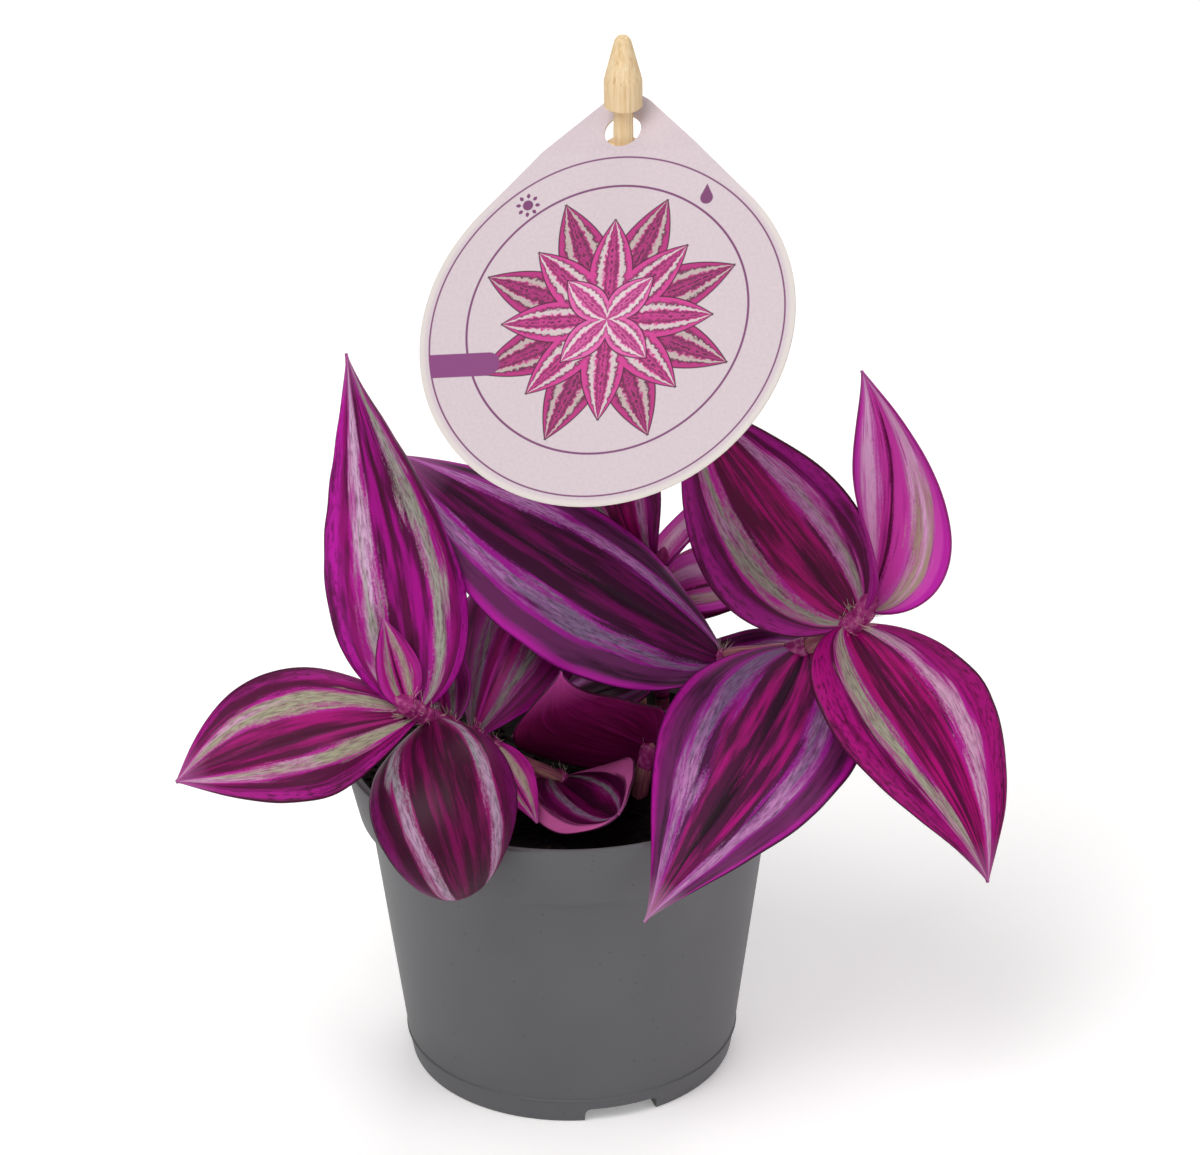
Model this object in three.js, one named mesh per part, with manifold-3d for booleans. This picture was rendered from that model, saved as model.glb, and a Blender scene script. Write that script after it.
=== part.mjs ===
// A potted tradescantia: a grey grower's pot with soil, three leafy shoots and a card label on a wooden peg.
// Millimetres, +Z up. The origin is the centre of the pot's resting face.
import * as THREE from 'three';
import { mergeVertices } from 'three/addons/utils/BufferGeometryUtils.js';
import Module from 'manifold-3d';

const wasm = await Module();
wasm.setup();

const { Vector2, Vector3, CatmullRomCurve3, MathUtils } = THREE;

// Clearances and walls
const GAP = 0.3;
const BLADE_THICKNESS = 0.7;
const SHEATH_WALL = 0.7;
const SHEATH_LENGTH = 2.6;

const POT = {
  height: 92.5, rimRadius: 60, rimInnerRadius: 57.6,
  collarHeight: 18.2, collarFootRadius: 56, bodyTopRadius: 53, wall: 1.1,
  footHeight: 7.1, bodyFootRadius: 44.2, footRadius: 43, floor: 1.2, sides: 40,
  notches: 3, firstNotch: -72, notchWidth: 20, notchHeight: 4, notchReach: 11, drainRadius: 2.5,
};

const SOIL = { level: 80, relief: 0.7, rings: 6 };

// Round peg with a whittled head, and a neck that the card hangs in
const PEG = {
  x: 16, y: 28, bottom: 24, top: 283, radius: 5, tipRadius: 1.8, tipLength: 12,
  headLength: 19.5, neckLength: 10.5, neckRadius: 2.7, pointLength: 14, sides: 24,
};

// Card label: a disc drawn out to a rounded point, with a hole near the point. It hangs on the peg's neck
// and leans back. aboveShoulder is the height over the neck's lower end at which the card's plane meets the
// neck's axis, and slack is how far the hole's middle has slid down from there.
const CARD = {
  radius: 50, pointRadius: 9, pointReach: 70.9, holeRadius: 4.9, holeReach: 55.4,
  aboveShoulder: 4.3, slack: 1,
  thickness: 0.7, bend: 10, bendStart: 6, bendLength: 24, rings: 4, sides: 44,
  normal: [-0.281, -0.584, 0.762], up: [0.092, 0.774, 0.627],
};

// Stems, from inside the soil to the growing point
const STEMS = {
  left: {
    radius: 2.2,
    route: [[2, -3, 64], [0, -5, 80], [-5, -8, 86], [-12, -12, 92], [-24, -20.5, 104.5],
      [-33.5, -31, 115.3], [-37.5, -35, 120], [-42.5, -38.5, 125.5]],
  },
  right: {
    radius: 2.3,
    route: [[19, -6, 64], [19, -8, 82], [22, -7, 93], [29, -4.5, 104], [41, -2, 117], [52, -5, 120.5],
      [63, -8.5, 124], [72, -11.3, 131], [77, -12, 135.5], [79, -12.5, 140]],
  },
  back: {
    radius: 1.9,
    route: [[26, 22, 64], [25.5, 20, 84], [24.5, 18.5, 106], [24, 18, 122], [24.2, 18.5, 131],
      [25.2, 19.5, 136]],
  },
};
const STEM_SIDES = 8;
const STEM_STEP = 5;

// Leaves, from each stem's growing point down. fromTip is the distance down the stem. heading, rise and
// roll aim the leaf where it leaves the stem. Over its length bend and bendTip droop it, swing turns it
// sideways and twist rolls it. fold is the angle of each half at the midrib, cup is how much more it rises
// towards the margin, and curlLeft and curlRight roll a margin in. Angles are in degrees. full rounds the
// base, and taper draws out the tip.
const LEAF = {
  bend: 0, bendTip: 0, swing: 0, twist: 0,
  fold: 14, cup: -10, curlLeft: 0, curlRight: 0, full: 0.62, taper: 1.1,
};
const LEAVES = {
  left: {
    leaf_left_young: {
      fromTip: 1.6, heading: 150, rise: 70, roll: 30, length: 26, width: 13, bend: -20, fold: 30, cup: -20,
    },
    leaf_left_upright: {
      fromTip: 5, heading: 97, rise: 76, roll: 2, length: 99, width: 40, bend: 8, bendTip: -26,
      swing: 21, twist: -45, fold: 9, cup: -41, curlLeft: -11, curlRight: -34, full: 0.6, taper: 1.26,
    },
    leaf_left_level: {
      fromTip: 8.4, heading: 193, rise: 0, roll: 24, length: 67, width: 43, bend: 10, bendTip: 4,
      swing: 12, cup: -11, full: 1.12,
    },
    leaf_left_hanging: {
      fromTip: 12.5, heading: -95, rise: 18, roll: -19, length: 77, width: 42, bend: 110, bendTip: 95,
      swing: 20, twist: 22, fold: 0, cup: -41, curlLeft: -11, full: 0.64, taper: 0.82,
    },
    leaf_left_shaded: {
      fromTip: 20, heading: 104, rise: 43, roll: 8, length: 36, width: 17, bend: 20, fold: 17,
    },
    leaf_left_inner: {
      fromTip: 32, heading: 56, rise: 59, roll: 3, length: 63, width: 43, bend: 47, bendTip: 35,
      swing: 8, twist: -23, fold: -10, cup: -37, full: 0.85, taper: 0.6,
    },
    leaf_left_small: {
      fromTip: 39, heading: -59, rise: -18, roll: 0, length: 27, width: 13, bend: 17, fold: 20,
    },
    leaf_left_low: {
      fromTip: 66, heading: -66, rise: 11, roll: 8, length: 47, width: 34, bend: 7, bendTip: -40, twist: -47,
      fold: 21, cup: -12, curlLeft: 45, curlRight: -7, full: 0.5, taper: 0.98,
    },
  },
  right: {
    leaf_right_upright: {
      fromTip: 3.4, heading: 50, rise: 49, roll: -62, length: 66, width: 50, bend: -10, bendTip: -13,
      swing: 56, twist: 46, fold: 49, cup: 38, curlLeft: 10, curlRight: 6, full: 0.57, taper: 1.16,
    },
    leaf_right_back: {
      fromTip: 6.8, heading: 150, rise: 39, roll: 63, length: 72, width: 48, bendTip: -10,
      swing: -14, twist: 11, fold: 18, cup: 5, curlRight: 15, taper: 0.98,
    },
    leaf_right_outer: {
      fromTip: 10.2, heading: -53, rise: -28, roll: 16, length: 79, width: 60, bend: 8, bendTip: 35,
      swing: 6, twist: -5, fold: 8, cup: -6, curlRight: -26, full: 0.58, taper: 1.16,
    },
    leaf_right_front: {
      fromTip: 24, heading: -113, rise: -22, roll: 3, length: 92, width: 54, bend: 9, bendTip: 7, swing: -16,
      fold: 9, cup: -15, full: 0.63, taper: 1.3,
    },
    leaf_right_great: {
      fromTip: 47.4, heading: 203, rise: 39, roll: 46, length: 104, width: 49, bend: 39, bendTip: -8,
      swing: -28, twist: 8, fold: 7, cup: -45, curlLeft: -6, curlRight: 11, full: 0.71, taper: 0.89,
    },
    leaf_right_hidden: { fromTip: 58, heading: 25, rise: 8, roll: 0, length: 62, width: 34, bend: 35 },
    leaf_right_low: {
      fromTip: 78.5, heading: 174, rise: 26, roll: -58, length: 53, width: 46, bend: 70, bendTip: -65,
      swing: 85, twist: -21, fold: 6, cup: -26, curlRight: 35, full: 0.52, taper: 1.29,
    },
  },
  back: {
    leaf_back_narrow: {
      fromTip: 5, heading: 39, rise: 34, roll: 26, length: 38, width: 22, bendTip: -28, fold: 27, full: 0.6,
    },
    leaf_back_upright: {
      fromTip: 8.6, heading: 159, rise: 57, roll: 46, length: 51, width: 25, bend: -39, bendTip: 4,
      swing: -21, twist: 18, fold: 18, cup: -6, curlRight: 14, full: 1.15, taper: 0.6,
    },
    leaf_back_right: {
      fromTip: 12.2, heading: 9, rise: 19, roll: -8, length: 37, width: 27, bend: 38, bendTip: 12, fold: 15,
    },
    leaf_back_rear: {
      fromTip: 20, heading: 42, rise: 19, roll: 0, length: 61, width: 34, bend: 41, full: 0.85,
    },
    leaf_back_left: {
      fromTip: 36, heading: 203, rise: 2, roll: 10, length: 44, width: 22, bend: 30, full: 0.9,
    },
  },
};
const BLADE = { rows: 10, columns: 3, steps: 30, substeps: 3, stalk: 2.2, tipWidth: 0.5 };

const COLOURS = {
  pot: 0x5c5d60, soil: 0x1c1613, peg: 0xe4c797, card: 0xdccbd4,
  stem: 0x9a5a6a, leaf: 0x8e1f7a, youngLeaf: 0xb8459c,
};

// ---- Solids ----

function toSolid(geometry) {
  const bare = geometry.clone();
  bare.deleteAttribute('normal');
  bare.deleteAttribute('uv');
  const merged = mergeVertices(bare, 1e-4);
  const vertProperties = new Float32Array(merged.attributes.position.array);
  const triVerts = new Uint32Array(merged.index.array);
  const mesh = new wasm.Mesh({ numProp: 3, vertProperties, triVerts });
  mesh.merge();
  return new wasm.Manifold(mesh);
}

// The largest body of a cut solid: the crumbs that a cut leaves are dropped.
function mainBody(solid) {
  return solid.decompose().reduce((best, body) => (body.volume() > best.volume() ? body : best));
}

function toGeometry(solid) {
  const mesh = solid.getMesh();
  const geometry = new THREE.BufferGeometry();
  geometry.setAttribute('position', new THREE.BufferAttribute(new Float32Array(mesh.vertProperties), 3));
  geometry.setIndex(new THREE.BufferAttribute(new Uint32Array(mesh.triVerts), 1));
  geometry.computeVertexNormals();
  return geometry;
}

function named(name, solid, color, roughness) {
  const material = new THREE.MeshStandardMaterial({ color, roughness, metalness: 0 });
  const mesh = new THREE.Mesh(toGeometry(solid), material);
  mesh.name = name;
  return mesh;
}

// A solid of revolution about Z from [radius, height] pairs, listed upwards on the outside
function turned(profile, sides) {
  const points = profile.map(([radius, height]) => new Vector2(radius, height));
  return toSolid(new THREE.LatheGeometry(points, sides).rotateX(Math.PI / 2));
}

// A closed sheet from rows of { front, back } points, split alike on both faces. A looped sheet joins its
// last row to its first.
function sheet(rows, looped = false) {
  const columns = rows[0].length;
  const cells = rows.flat();
  const vertices = ['front', 'back'].flatMap((face) => cells.flatMap((cell) => cell[face].toArray()));
  const backStart = rows.length * columns;
  const at = (row, column) => (row % rows.length) * columns + column;
  const triangles = [];
  const addQuad = (a, b, c, d) => triangles.push(a, b, c, a, c, d);
  const addWall = (a, b) => addQuad(a, a + backStart, b + backStart, b);
  const lastRow = rows.length - 1;
  for (let row = 0; row < (looped ? rows.length : lastRow); row += 1) {
    for (let column = 0; column < columns - 1; column += 1) {
      const corners = [at(row, column), at(row + 1, column), at(row + 1, column + 1), at(row, column + 1)];
      if (column >= (columns - 1) / 2) corners.push(corners.shift());
      addQuad(...corners);
      const [a, b, c, d] = corners.map((corner) => corner + backStart);
      triangles.push(a, c, b, a, d, c);
    }
    addWall(at(row, 0), at(row + 1, 0));
    addWall(at(row + 1, columns - 1), at(row, columns - 1));
  }
  for (let column = 0; !looped && column < columns - 1; column += 1) {
    addWall(at(0, column + 1), at(0, column));
    addWall(at(lastRow, column), at(lastRow, column + 1));
  }
  const geometry = new THREE.BufferGeometry();
  geometry.setAttribute('position', new THREE.Float32BufferAttribute(vertices, 3));
  geometry.setIndex(triangles);
  return toSolid(geometry);
}

// ---- Pot ----

// The pot's outer wall from the foot up: foot, tapered body, collar, rim
function potWall() {
  const { height, collarHeight } = POT;
  const collarFoot = height - collarHeight;
  return [
    [POT.footRadius - 0.6, 0], [POT.footRadius, 0.6], [POT.bodyFootRadius, POT.footHeight],
    [POT.bodyTopRadius, collarFoot - 1], [POT.collarFootRadius - 0.5, collarFoot],
    [POT.collarFootRadius, collarFoot + 0.8], [POT.rimRadius, height - 0.5], [POT.rimRadius - 0.4, height],
  ];
}

// The inside of the pot, `shrink` smaller all round: the soil fills it with a gap.
function potInside(shrink = 0) {
  const collarFoot = POT.height - POT.collarHeight;
  return [
    [POT.footRadius - POT.wall - shrink, POT.floor + shrink],
    [POT.bodyFootRadius - POT.wall - shrink, POT.footHeight],
    [POT.bodyTopRadius - POT.wall - shrink, collarFoot - 2],
    [POT.collarFootRadius - POT.wall - shrink, collarFoot + 2],
    [POT.rimInnerRadius - shrink, POT.height],
  ];
}

// The block under which a drain notch runs in from the pot's foot, `grow` larger all round
function notchBlock(index, width, reach, top, grow = 0) {
  const outer = POT.footRadius + 2;
  const depth = outer - (POT.footRadius - reach);
  const block = new THREE.BoxGeometry(depth + grow, width + 2 * grow, 2 * (top + grow));
  block.translate(outer - (depth + grow) / 2, 0, 0);
  block.rotateZ(notchAngle(index));
  return toSolid(block);
}

function notchAngle(index) {
  return MathUtils.degToRad(POT.firstNotch + (360 / POT.notches) * index);
}

function drainHole(index) {
  const hole = new THREE.CylinderGeometry(POT.drainRadius, POT.drainRadius, 4 * POT.notchHeight, 12);
  hole.rotateX(Math.PI / 2);
  hole.translate(POT.footRadius - POT.notchReach / 2 - 2, 0, 0);
  hole.rotateZ(notchAngle(index));
  return toSolid(hole);
}

const notchRange = [...Array(POT.notches).keys()];
const hump = {
  width: POT.notchWidth + 2 * POT.wall,
  reach: POT.notchReach + POT.wall,
  top: POT.notchHeight + POT.wall,
};

function growerPot() {
  const shellFull = turned([[0, 0], ...potWall(), [0, POT.height]], POT.sides);
  const above = POT.height + 1;
  const cavity = turned([[0, POT.floor], ...potInside(), [POT.rimInnerRadius, above], [0, above]], POT.sides);
  let pot = shellFull.subtract(cavity);
  for (const index of notchRange) {
    pot = pot.add(notchBlock(index, hump.width, hump.reach, hump.top).intersect(shellFull));
    pot = pot.subtract(notchBlock(index, POT.notchWidth, POT.notchReach, POT.notchHeight));
    pot = pot.subtract(drainHole(index));
  }
  return pot;
}

// ---- Soil ----

// Crumbled surface: a sum of crossed waves that fades out at the pot's wall
function soilRelief(x, y, radius) {
  const crumbs = Math.sin(x * 0.43 + 1.3) * Math.sin(y * 0.39 + 0.4) + 0.6 * Math.sin(x * 0.21 - y * 0.27 + 2)
    + 0.4 * Math.sin(x * 0.83 + y * 0.71);
  const fade = 1 - (Math.hypot(x, y) / radius) ** 6;
  return SOIL.relief * crumbs * fade;
}

function pottingSoil(holes) {
  const inside = potInside(GAP);
  const [low, high] = inside.slice(-2);
  const rimRadius = MathUtils.mapLinear(SOIL.level, low[1], high[1], low[0], high[0]);
  const rings = [...Array(SOIL.rings).keys()];
  const surface = rings.map((ring) => [rimRadius * (1 - ring / SOIL.rings), SOIL.level]);
  const profile = [[0, POT.floor + GAP], ...inside.slice(0, -1), ...surface, [0, SOIL.level]];
  const points = profile.map(([radius, height]) => new Vector2(radius, height));
  const body = new THREE.LatheGeometry(points, POT.sides).rotateX(Math.PI / 2);
  const position = body.attributes.position;
  for (let i = 0; i < position.count; i += 1) {
    if (position.getZ(i) > SOIL.level - 1) {
      position.setZ(i, SOIL.level + soilRelief(position.getX(i), position.getY(i), rimRadius));
    }
  }
  const humps = notchRange.map((index) => notchBlock(index, hump.width, hump.reach, hump.top, GAP));
  return mainBody([...humps, ...holes].reduce((soil, hole) => soil.subtract(hole), toSolid(body)));
}

// ---- Peg and card ----

function pegProfile(grow = 0) {
  const { radius, top, bottom } = PEG;
  const headFoot = top - PEG.headLength;
  const shoulder = headFoot - PEG.neckLength;
  return [
    [0, bottom - grow], [0.8 + grow, bottom - grow], [radius + grow, bottom + PEG.pointLength],
    [radius + grow, shoulder - 0.6], [radius - 0.6 + grow, shoulder + grow],
    [PEG.neckRadius + grow, shoulder + grow], [PEG.neckRadius + grow, headFoot - grow],
    [radius - 0.5 + grow, headFoot - grow], [radius + grow, headFoot + 0.7],
    [radius + grow, top - PEG.tipLength],
    [PEG.tipRadius + 0.4 + grow, top - 1], [PEG.tipRadius - 0.3, top + grow], [0, top + grow],
  ];
}

function roundPeg(grow = 0) {
  return turned(pegProfile(grow), PEG.sides).translate([PEG.x, PEG.y, 0]);
}

// The card's outline about the middle of its hole: the disc's arc, then the small arc of the point
function cardOutline() {
  const tangent = Math.asin(CARD.radius / CARD.pointReach);
  const discY = -CARD.holeReach;
  const pointY = discY + CARD.pointReach - CARD.pointRadius / Math.sin(tangent);
  const outline = new THREE.Shape();
  outline.absarc(0, discY, CARD.radius, Math.PI - tangent, 2 * Math.PI + tangent);
  outline.absarc(0, pointY, CARD.pointRadius, tangent, Math.PI - tangent);
  outline.closePath();
  return outline.getSpacedPoints(CARD.sides).slice(0, CARD.sides);
}

const cardNormal = new Vector3(...CARD.normal).normalize();
const cardRight = new Vector3(...CARD.up).cross(cardNormal).normalize();
const cardUp = cardNormal.clone().cross(cardRight);

// The card is flat up to a soft bend under its hole, and lies flatter above the bend.
function bendCard(across, along, lift) {
  const full = MathUtils.degToRad(CARD.bend);
  const below = MathUtils.clamp(-along - CARD.bendStart, 0, CARD.bendLength);
  const curve = CARD.bendLength / full;
  const turn = full * (1 - below / CARD.bendLength);
  const upwards = cardUp.clone().multiplyScalar(Math.cos(full)).addScaledVector(cardNormal, -Math.sin(full));
  const face = cardNormal.clone().multiplyScalar(Math.cos(turn)).addScaledVector(cardUp, Math.sin(turn));
  const straightAbove = Math.max(along, -CARD.bendStart);
  const straightBelow = Math.min(along + CARD.bendStart + CARD.bendLength, 0);
  const arc = cardNormal.clone().multiplyScalar(-(Math.cos(turn) - Math.cos(full)) * curve)
    .addScaledVector(cardUp, -(Math.sin(full) - Math.sin(turn)) * curve);
  const shoulder = PEG.top - PEG.headLength - PEG.neckLength;
  return new Vector3(PEG.x, PEG.y, shoulder + CARD.aboveShoulder)
    .addScaledVector(cardRight, across)
    .addScaledVector(upwards, straightAbove - CARD.slack)
    .add(arc)
    .addScaledVector(cardUp, straightBelow)
    .addScaledVector(face, lift);
}

function hangingCard() {
  const rows = cardOutline().map((edge) => {
    const hole = edge.clone().setLength(CARD.holeRadius);
    return [...Array(CARD.rings + 1).keys()].map((ring) => {
      const { x, y } = edge.clone().lerp(hole, ring / CARD.rings);
      return { front: bendCard(x, y, CARD.thickness / 2), back: bendCard(x, y, -CARD.thickness / 2) };
    });
  });
  return sheet(rows, true);
}

// ---- Stems and leaves ----

const stemCurves = Object.fromEntries(Object.entries(STEMS).map(([name, stem]) => {
  const curve = new CatmullRomCurve3(stem.route.map((point) => new Vector3(...point)));
  curve.arcLengthDivisions = 400;
  return [name, curve];
}));

// A rod of the stem's curve between two distances from its tip
function stemRod(stem, radius, fromTip, toTip) {
  const curve = stemCurves[stem];
  const length = curve.getLength();
  const steps = Math.max(2, Math.round((fromTip - toTip) / STEM_STEP));
  const points = [...Array(steps + 1).keys()].map((step) => {
    const distance = MathUtils.lerp(fromTip, toTip, step / steps);
    const onStem = MathUtils.clamp(distance, 0, length);
    const at = 1 - onStem / length;
    return curve.getPointAt(at).addScaledVector(curve.getTangentAt(at), onStem - distance);
  });
  const section = new THREE.Shape().absarc(0, 0, radius, 0, 2 * Math.PI);
  const outline = new THREE.Shape(section.getSpacedPoints(STEM_SIDES).slice(0, STEM_SIDES));
  const path = new CatmullRomCurve3(points);
  return toSolid(new THREE.ExtrudeGeometry(outline, { extrudePath: path, steps, bevelEnabled: false }));
}

function stemLength(stem) {
  return stemCurves[stem].getLength();
}

function wholeStem(stem, grow = 0) {
  return stemRod(stem, STEMS[stem].radius + grow, stemLength(stem) + grow, -grow);
}

const turn = (vector, axis, degrees) => vector.applyAxisAngle(axis, MathUtils.degToRad(degrees));

// Half the blade's width at u, from 0 at the stem to 1 at the tip
function halfWidth(leaf, u) {
  const inside = MathUtils.clamp(u, 1e-6, 1 - 1e-6);
  const widest = leaf.full / (leaf.full + leaf.taper);
  const shape = (at) => at ** leaf.full * (1 - at) ** leaf.taper;
  const blade = (leaf.width / 2) * (shape(inside) / shape(widest));
  return Math.hypot(blade, BLADE.stalk * (1 - u) ** 8);
}

// One half of a cross-section, from the midrib out: distance to the side, height and slope at each column
function halfSection(leaf, u, width, curl) {
  const count = BLADE.columns * BLADE.substeps;
  const section = [{ out: 0, up: 0, slope: 0 }];
  let out = 0;
  let up = 0;
  for (let step = 0; step < count; step += 1) {
    const v = (step + 0.5) / count;
    const curled = curl * (Math.max(0, (v - 0.5) / 0.5) ** 1.5) * 4 * u * (1 - u);
    const slope = MathUtils.degToRad(leaf.fold * (1 - 0.4 * u) + leaf.cup * v + curled);
    out += (Math.cos(slope) * width) / count;
    up += (Math.sin(slope) * width) / count;
    if ((step + 1) % BLADE.substeps === 0) section.push({ out, up, slope });
  }
  return section;
}

// The blade as rows of points across, from right to left, carried along the midrib by a frame that bends and
// turns
function traceBlade(leaf, start, thickness, widen) {
  const heading = MathUtils.degToRad(leaf.heading);
  const rise = MathUtils.degToRad(leaf.rise);
  const flat = new Vector3(Math.cos(heading), Math.sin(heading), 0);
  const along = flat.clone().multiplyScalar(Math.cos(rise)).setZ(Math.sin(rise));
  const up = flat.clone().multiplyScalar(-Math.sin(rise)).setZ(Math.cos(rise));
  turn(up, along, -leaf.roll);
  const point = start.clone();
  const rows = [];
  for (let step = 0; step <= BLADE.steps; step += 1) {
    const u = step / BLADE.steps;
    const left = up.clone().cross(along);
    if (step % (BLADE.steps / BLADE.rows) === 0) {
      const width = Math.max(halfWidth(leaf, u), BLADE.tipWidth) + widen;
      const cell = (side, { out, up: height, slope }) => {
        const middle = point.clone().addScaledVector(left, side * out).addScaledVector(up, height);
        const across = -side * Math.sin(slope);
        const normal = up.clone().multiplyScalar(Math.cos(slope)).addScaledVector(left, across);
        return {
          front: middle.clone().addScaledVector(normal, thickness / 2),
          back: middle.clone().addScaledVector(normal, -thickness / 2),
        };
      };
      const rightHalf = halfSection(leaf, u, width, leaf.curlRight).slice(1).reverse();
      const leftHalf = halfSection(leaf, u, width, leaf.curlLeft);
      rows.push([...rightHalf.map((end) => cell(-1, end)), ...leftHalf.map((end) => cell(1, end))]);
    }
    point.addScaledVector(along, leaf.length / BLADE.steps);
    const bend = (leaf.bend + 3 * leaf.bendTip * (u + 0.5 / BLADE.steps) ** 2) / BLADE.steps;
    turn(along, left, bend);
    turn(up, left, bend);
    turn(along, up, leaf.swing / BLADE.steps);
    turn(up, along, -leaf.twist / BLADE.steps);
    up.addScaledVector(along, -up.dot(along)).normalize();
  }
  return rows;
}

// A blade fused to the short sheath that wraps its stem, `grow` larger all round
function leafBody(stem, leaf, grow = 0) {
  const curve = stemCurves[stem];
  const start = curve.getPointAt(1 - leaf.fromTip / stemLength(stem));
  const blade = sheet(traceBlade(leaf, start, BLADE_THICKNESS + 2 * grow, grow));
  const reach = SHEATH_LENGTH / 2 + grow;
  const outside = STEMS[stem].radius + GAP + SHEATH_WALL + grow;
  const sheath = stemRod(stem, outside, leaf.fromTip + reach, leaf.fromTip - reach);
  return blade.add(sheath);
}

// Each leaf keeps clear of its stem and of the sheaths of the leaves above it.
function leafMeshes(stem) {
  const rod = wholeStem(stem, GAP);
  const leaves = Object.entries(LEAVES[stem]).map(([name, sizes]) => [name, { ...LEAF, ...sizes }]);
  let above = rod;
  return leaves.map(([name, leaf]) => {
    const solid = mainBody(leafBody(stem, leaf).subtract(above));
    above = above.add(leafBody(stem, leaf, GAP));
    const young = leaf.length < 30;
    return named(name, solid, young ? COLOURS.youngLeaf : COLOURS.leaf, 0.42);
  });
}

// ---- The potted plant ----

const plant = new THREE.Group();
const stemNames = Object.keys(STEMS);
const holes = [roundPeg(GAP), ...stemNames.map((stem) => wholeStem(stem, GAP))];
plant.add(named('grower_pot', growerPot(), COLOURS.pot, 0.5));
plant.add(named('potting_soil', pottingSoil(holes), COLOURS.soil, 1));
plant.add(named('round_peg', roundPeg(), COLOURS.peg, 0.7));
plant.add(named('card_label', hangingCard(), COLOURS.card, 0.6));
for (const stem of stemNames) {
  plant.add(named(`stem_${stem}`, wholeStem(stem), COLOURS.stem, 0.5));
  plant.add(...leafMeshes(stem));
}

export default plant;
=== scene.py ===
# Potted tradescantia: striped leaves on three shoots, in a grey grower's pot, with a card label on a peg.
# The CAD model gives each piece its place. Lengths are in metres, and those of the stems and leaves in mm.
import math
import random

import bmesh
import bpy
from mathutils import Matrix, Vector, noise


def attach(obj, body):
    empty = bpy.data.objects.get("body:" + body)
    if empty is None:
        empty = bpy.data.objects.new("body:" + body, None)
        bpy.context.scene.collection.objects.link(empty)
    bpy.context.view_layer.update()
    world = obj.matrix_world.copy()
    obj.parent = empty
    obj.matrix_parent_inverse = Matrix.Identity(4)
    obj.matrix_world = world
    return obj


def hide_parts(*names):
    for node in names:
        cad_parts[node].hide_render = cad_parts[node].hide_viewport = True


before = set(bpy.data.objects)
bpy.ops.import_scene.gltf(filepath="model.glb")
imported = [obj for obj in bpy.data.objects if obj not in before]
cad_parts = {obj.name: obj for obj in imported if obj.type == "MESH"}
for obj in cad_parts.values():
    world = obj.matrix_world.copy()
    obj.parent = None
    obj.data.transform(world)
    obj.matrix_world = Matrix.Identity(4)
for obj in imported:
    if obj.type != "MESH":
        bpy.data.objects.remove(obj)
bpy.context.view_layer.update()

mm = 0.001
gap = 0.3 * mm      # what the soil leaves free to the pot's wall


def linearColour(hexText):
    def toLinear(value):
        return value / 12.92 if value <= 0.04045 else ((value + 0.055) / 1.055) ** 2.4
    channels = [int(hexText[i:i + 2], 16) / 255 for i in (1, 3, 5)]
    return (*[toLinear(value) for value in channels], 1.0)


def addNode(tree, kind, inputs=(), **settings):
    # each input is a value or the node that feeds it, in order or by name; settings are its properties
    node = tree.nodes.new("ShaderNode" + kind)
    for name, value in settings.items():
        setattr(node, name, value)
    for key, value in inputs.items() if isinstance(inputs, dict) else enumerate(inputs):
        if isinstance(value, bpy.types.Node):
            value = next(output for output in value.outputs if output.enabled)
        if isinstance(value, bpy.types.NodeSocket):
            tree.links.new(value, node.inputs[key])
        elif value is not None:
            node.inputs[key].default_value = value
    return node


def newFinish(name, **shader):
    # shader gives the constant values of the shader's sockets
    material = bpy.data.materials.new(name)
    material.use_nodes = True
    tree = material.node_tree
    bsdf = tree.nodes["Principled BSDF"]
    for key, value in shader.items():
        bsdf.inputs[key.replace("_", " ")].default_value = value
    return material, tree, bsdf


def setStops(rampNode, stops):
    # stops are places from 0 to 1, each with a hex colour or a grey level
    ramp = rampNode.color_ramp
    while len(ramp.elements) < len(stops):
        ramp.elements.new(1.0)
    for element, (place, colour) in zip(ramp.elements, stops):
        element.position = place
        element.color = linearColour(colour) if isinstance(colour, str) else (colour, colour, colour, 1)
    return rampNode


def makePiece(bm, name, materials, nodes):
    # a finished shape becomes a piece that stands for its CAD nodes
    mesh = bpy.data.meshes.new(name)
    for face in bm.faces:
        face.smooth = True
    bm.to_mesh(mesh)
    bm.free()
    piece = bpy.data.objects.new(name, mesh)
    for material in materials:
        mesh.materials.append(material)
    bpy.context.scene.collection.objects.link(piece)
    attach(piece, "root")
    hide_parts(*nodes)
    return piece


def applyModifiers(piece):
    bpy.context.view_layer.objects.active = piece
    for modifier in list(piece.modifiers):
        bpy.ops.object.modifier_apply(modifier=modifier.name)


def spinProfile(bm, profile, steps):
    # a closed body of revolution about Z from (radius, height) pairs that start and end on the axis
    vertices = [bm.verts.new((radius, 0, height)) for radius, height in profile]
    edges = [bm.edges.new(pair) for pair in zip(vertices, vertices[1:])]
    bmesh.ops.spin(bm, geom=vertices + edges, cent=(0, 0, 0), axis=(0, 0, 1), angle=2 * math.pi,
                   steps=steps, use_merge=True)
    bmesh.ops.remove_doubles(bm, verts=bm.verts, dist=1e-6)
    bmesh.ops.recalc_face_normals(bm, faces=bm.faces)


def smoothStep(low, high, value):
    t = min(max((value - low) / (high - low), 0), 1)
    return t * t * (3 - 2 * t)


view = {
    "distance": 2.0, "aimX": 8.81 * mm, "aimZ": 140.88 * mm, "clipEnd": 20,
    "elevation": 28.23, "roll": -0.57,      # degrees
    "lens": 229.2, "sensorWidth": 36,       # mm
}


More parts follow.
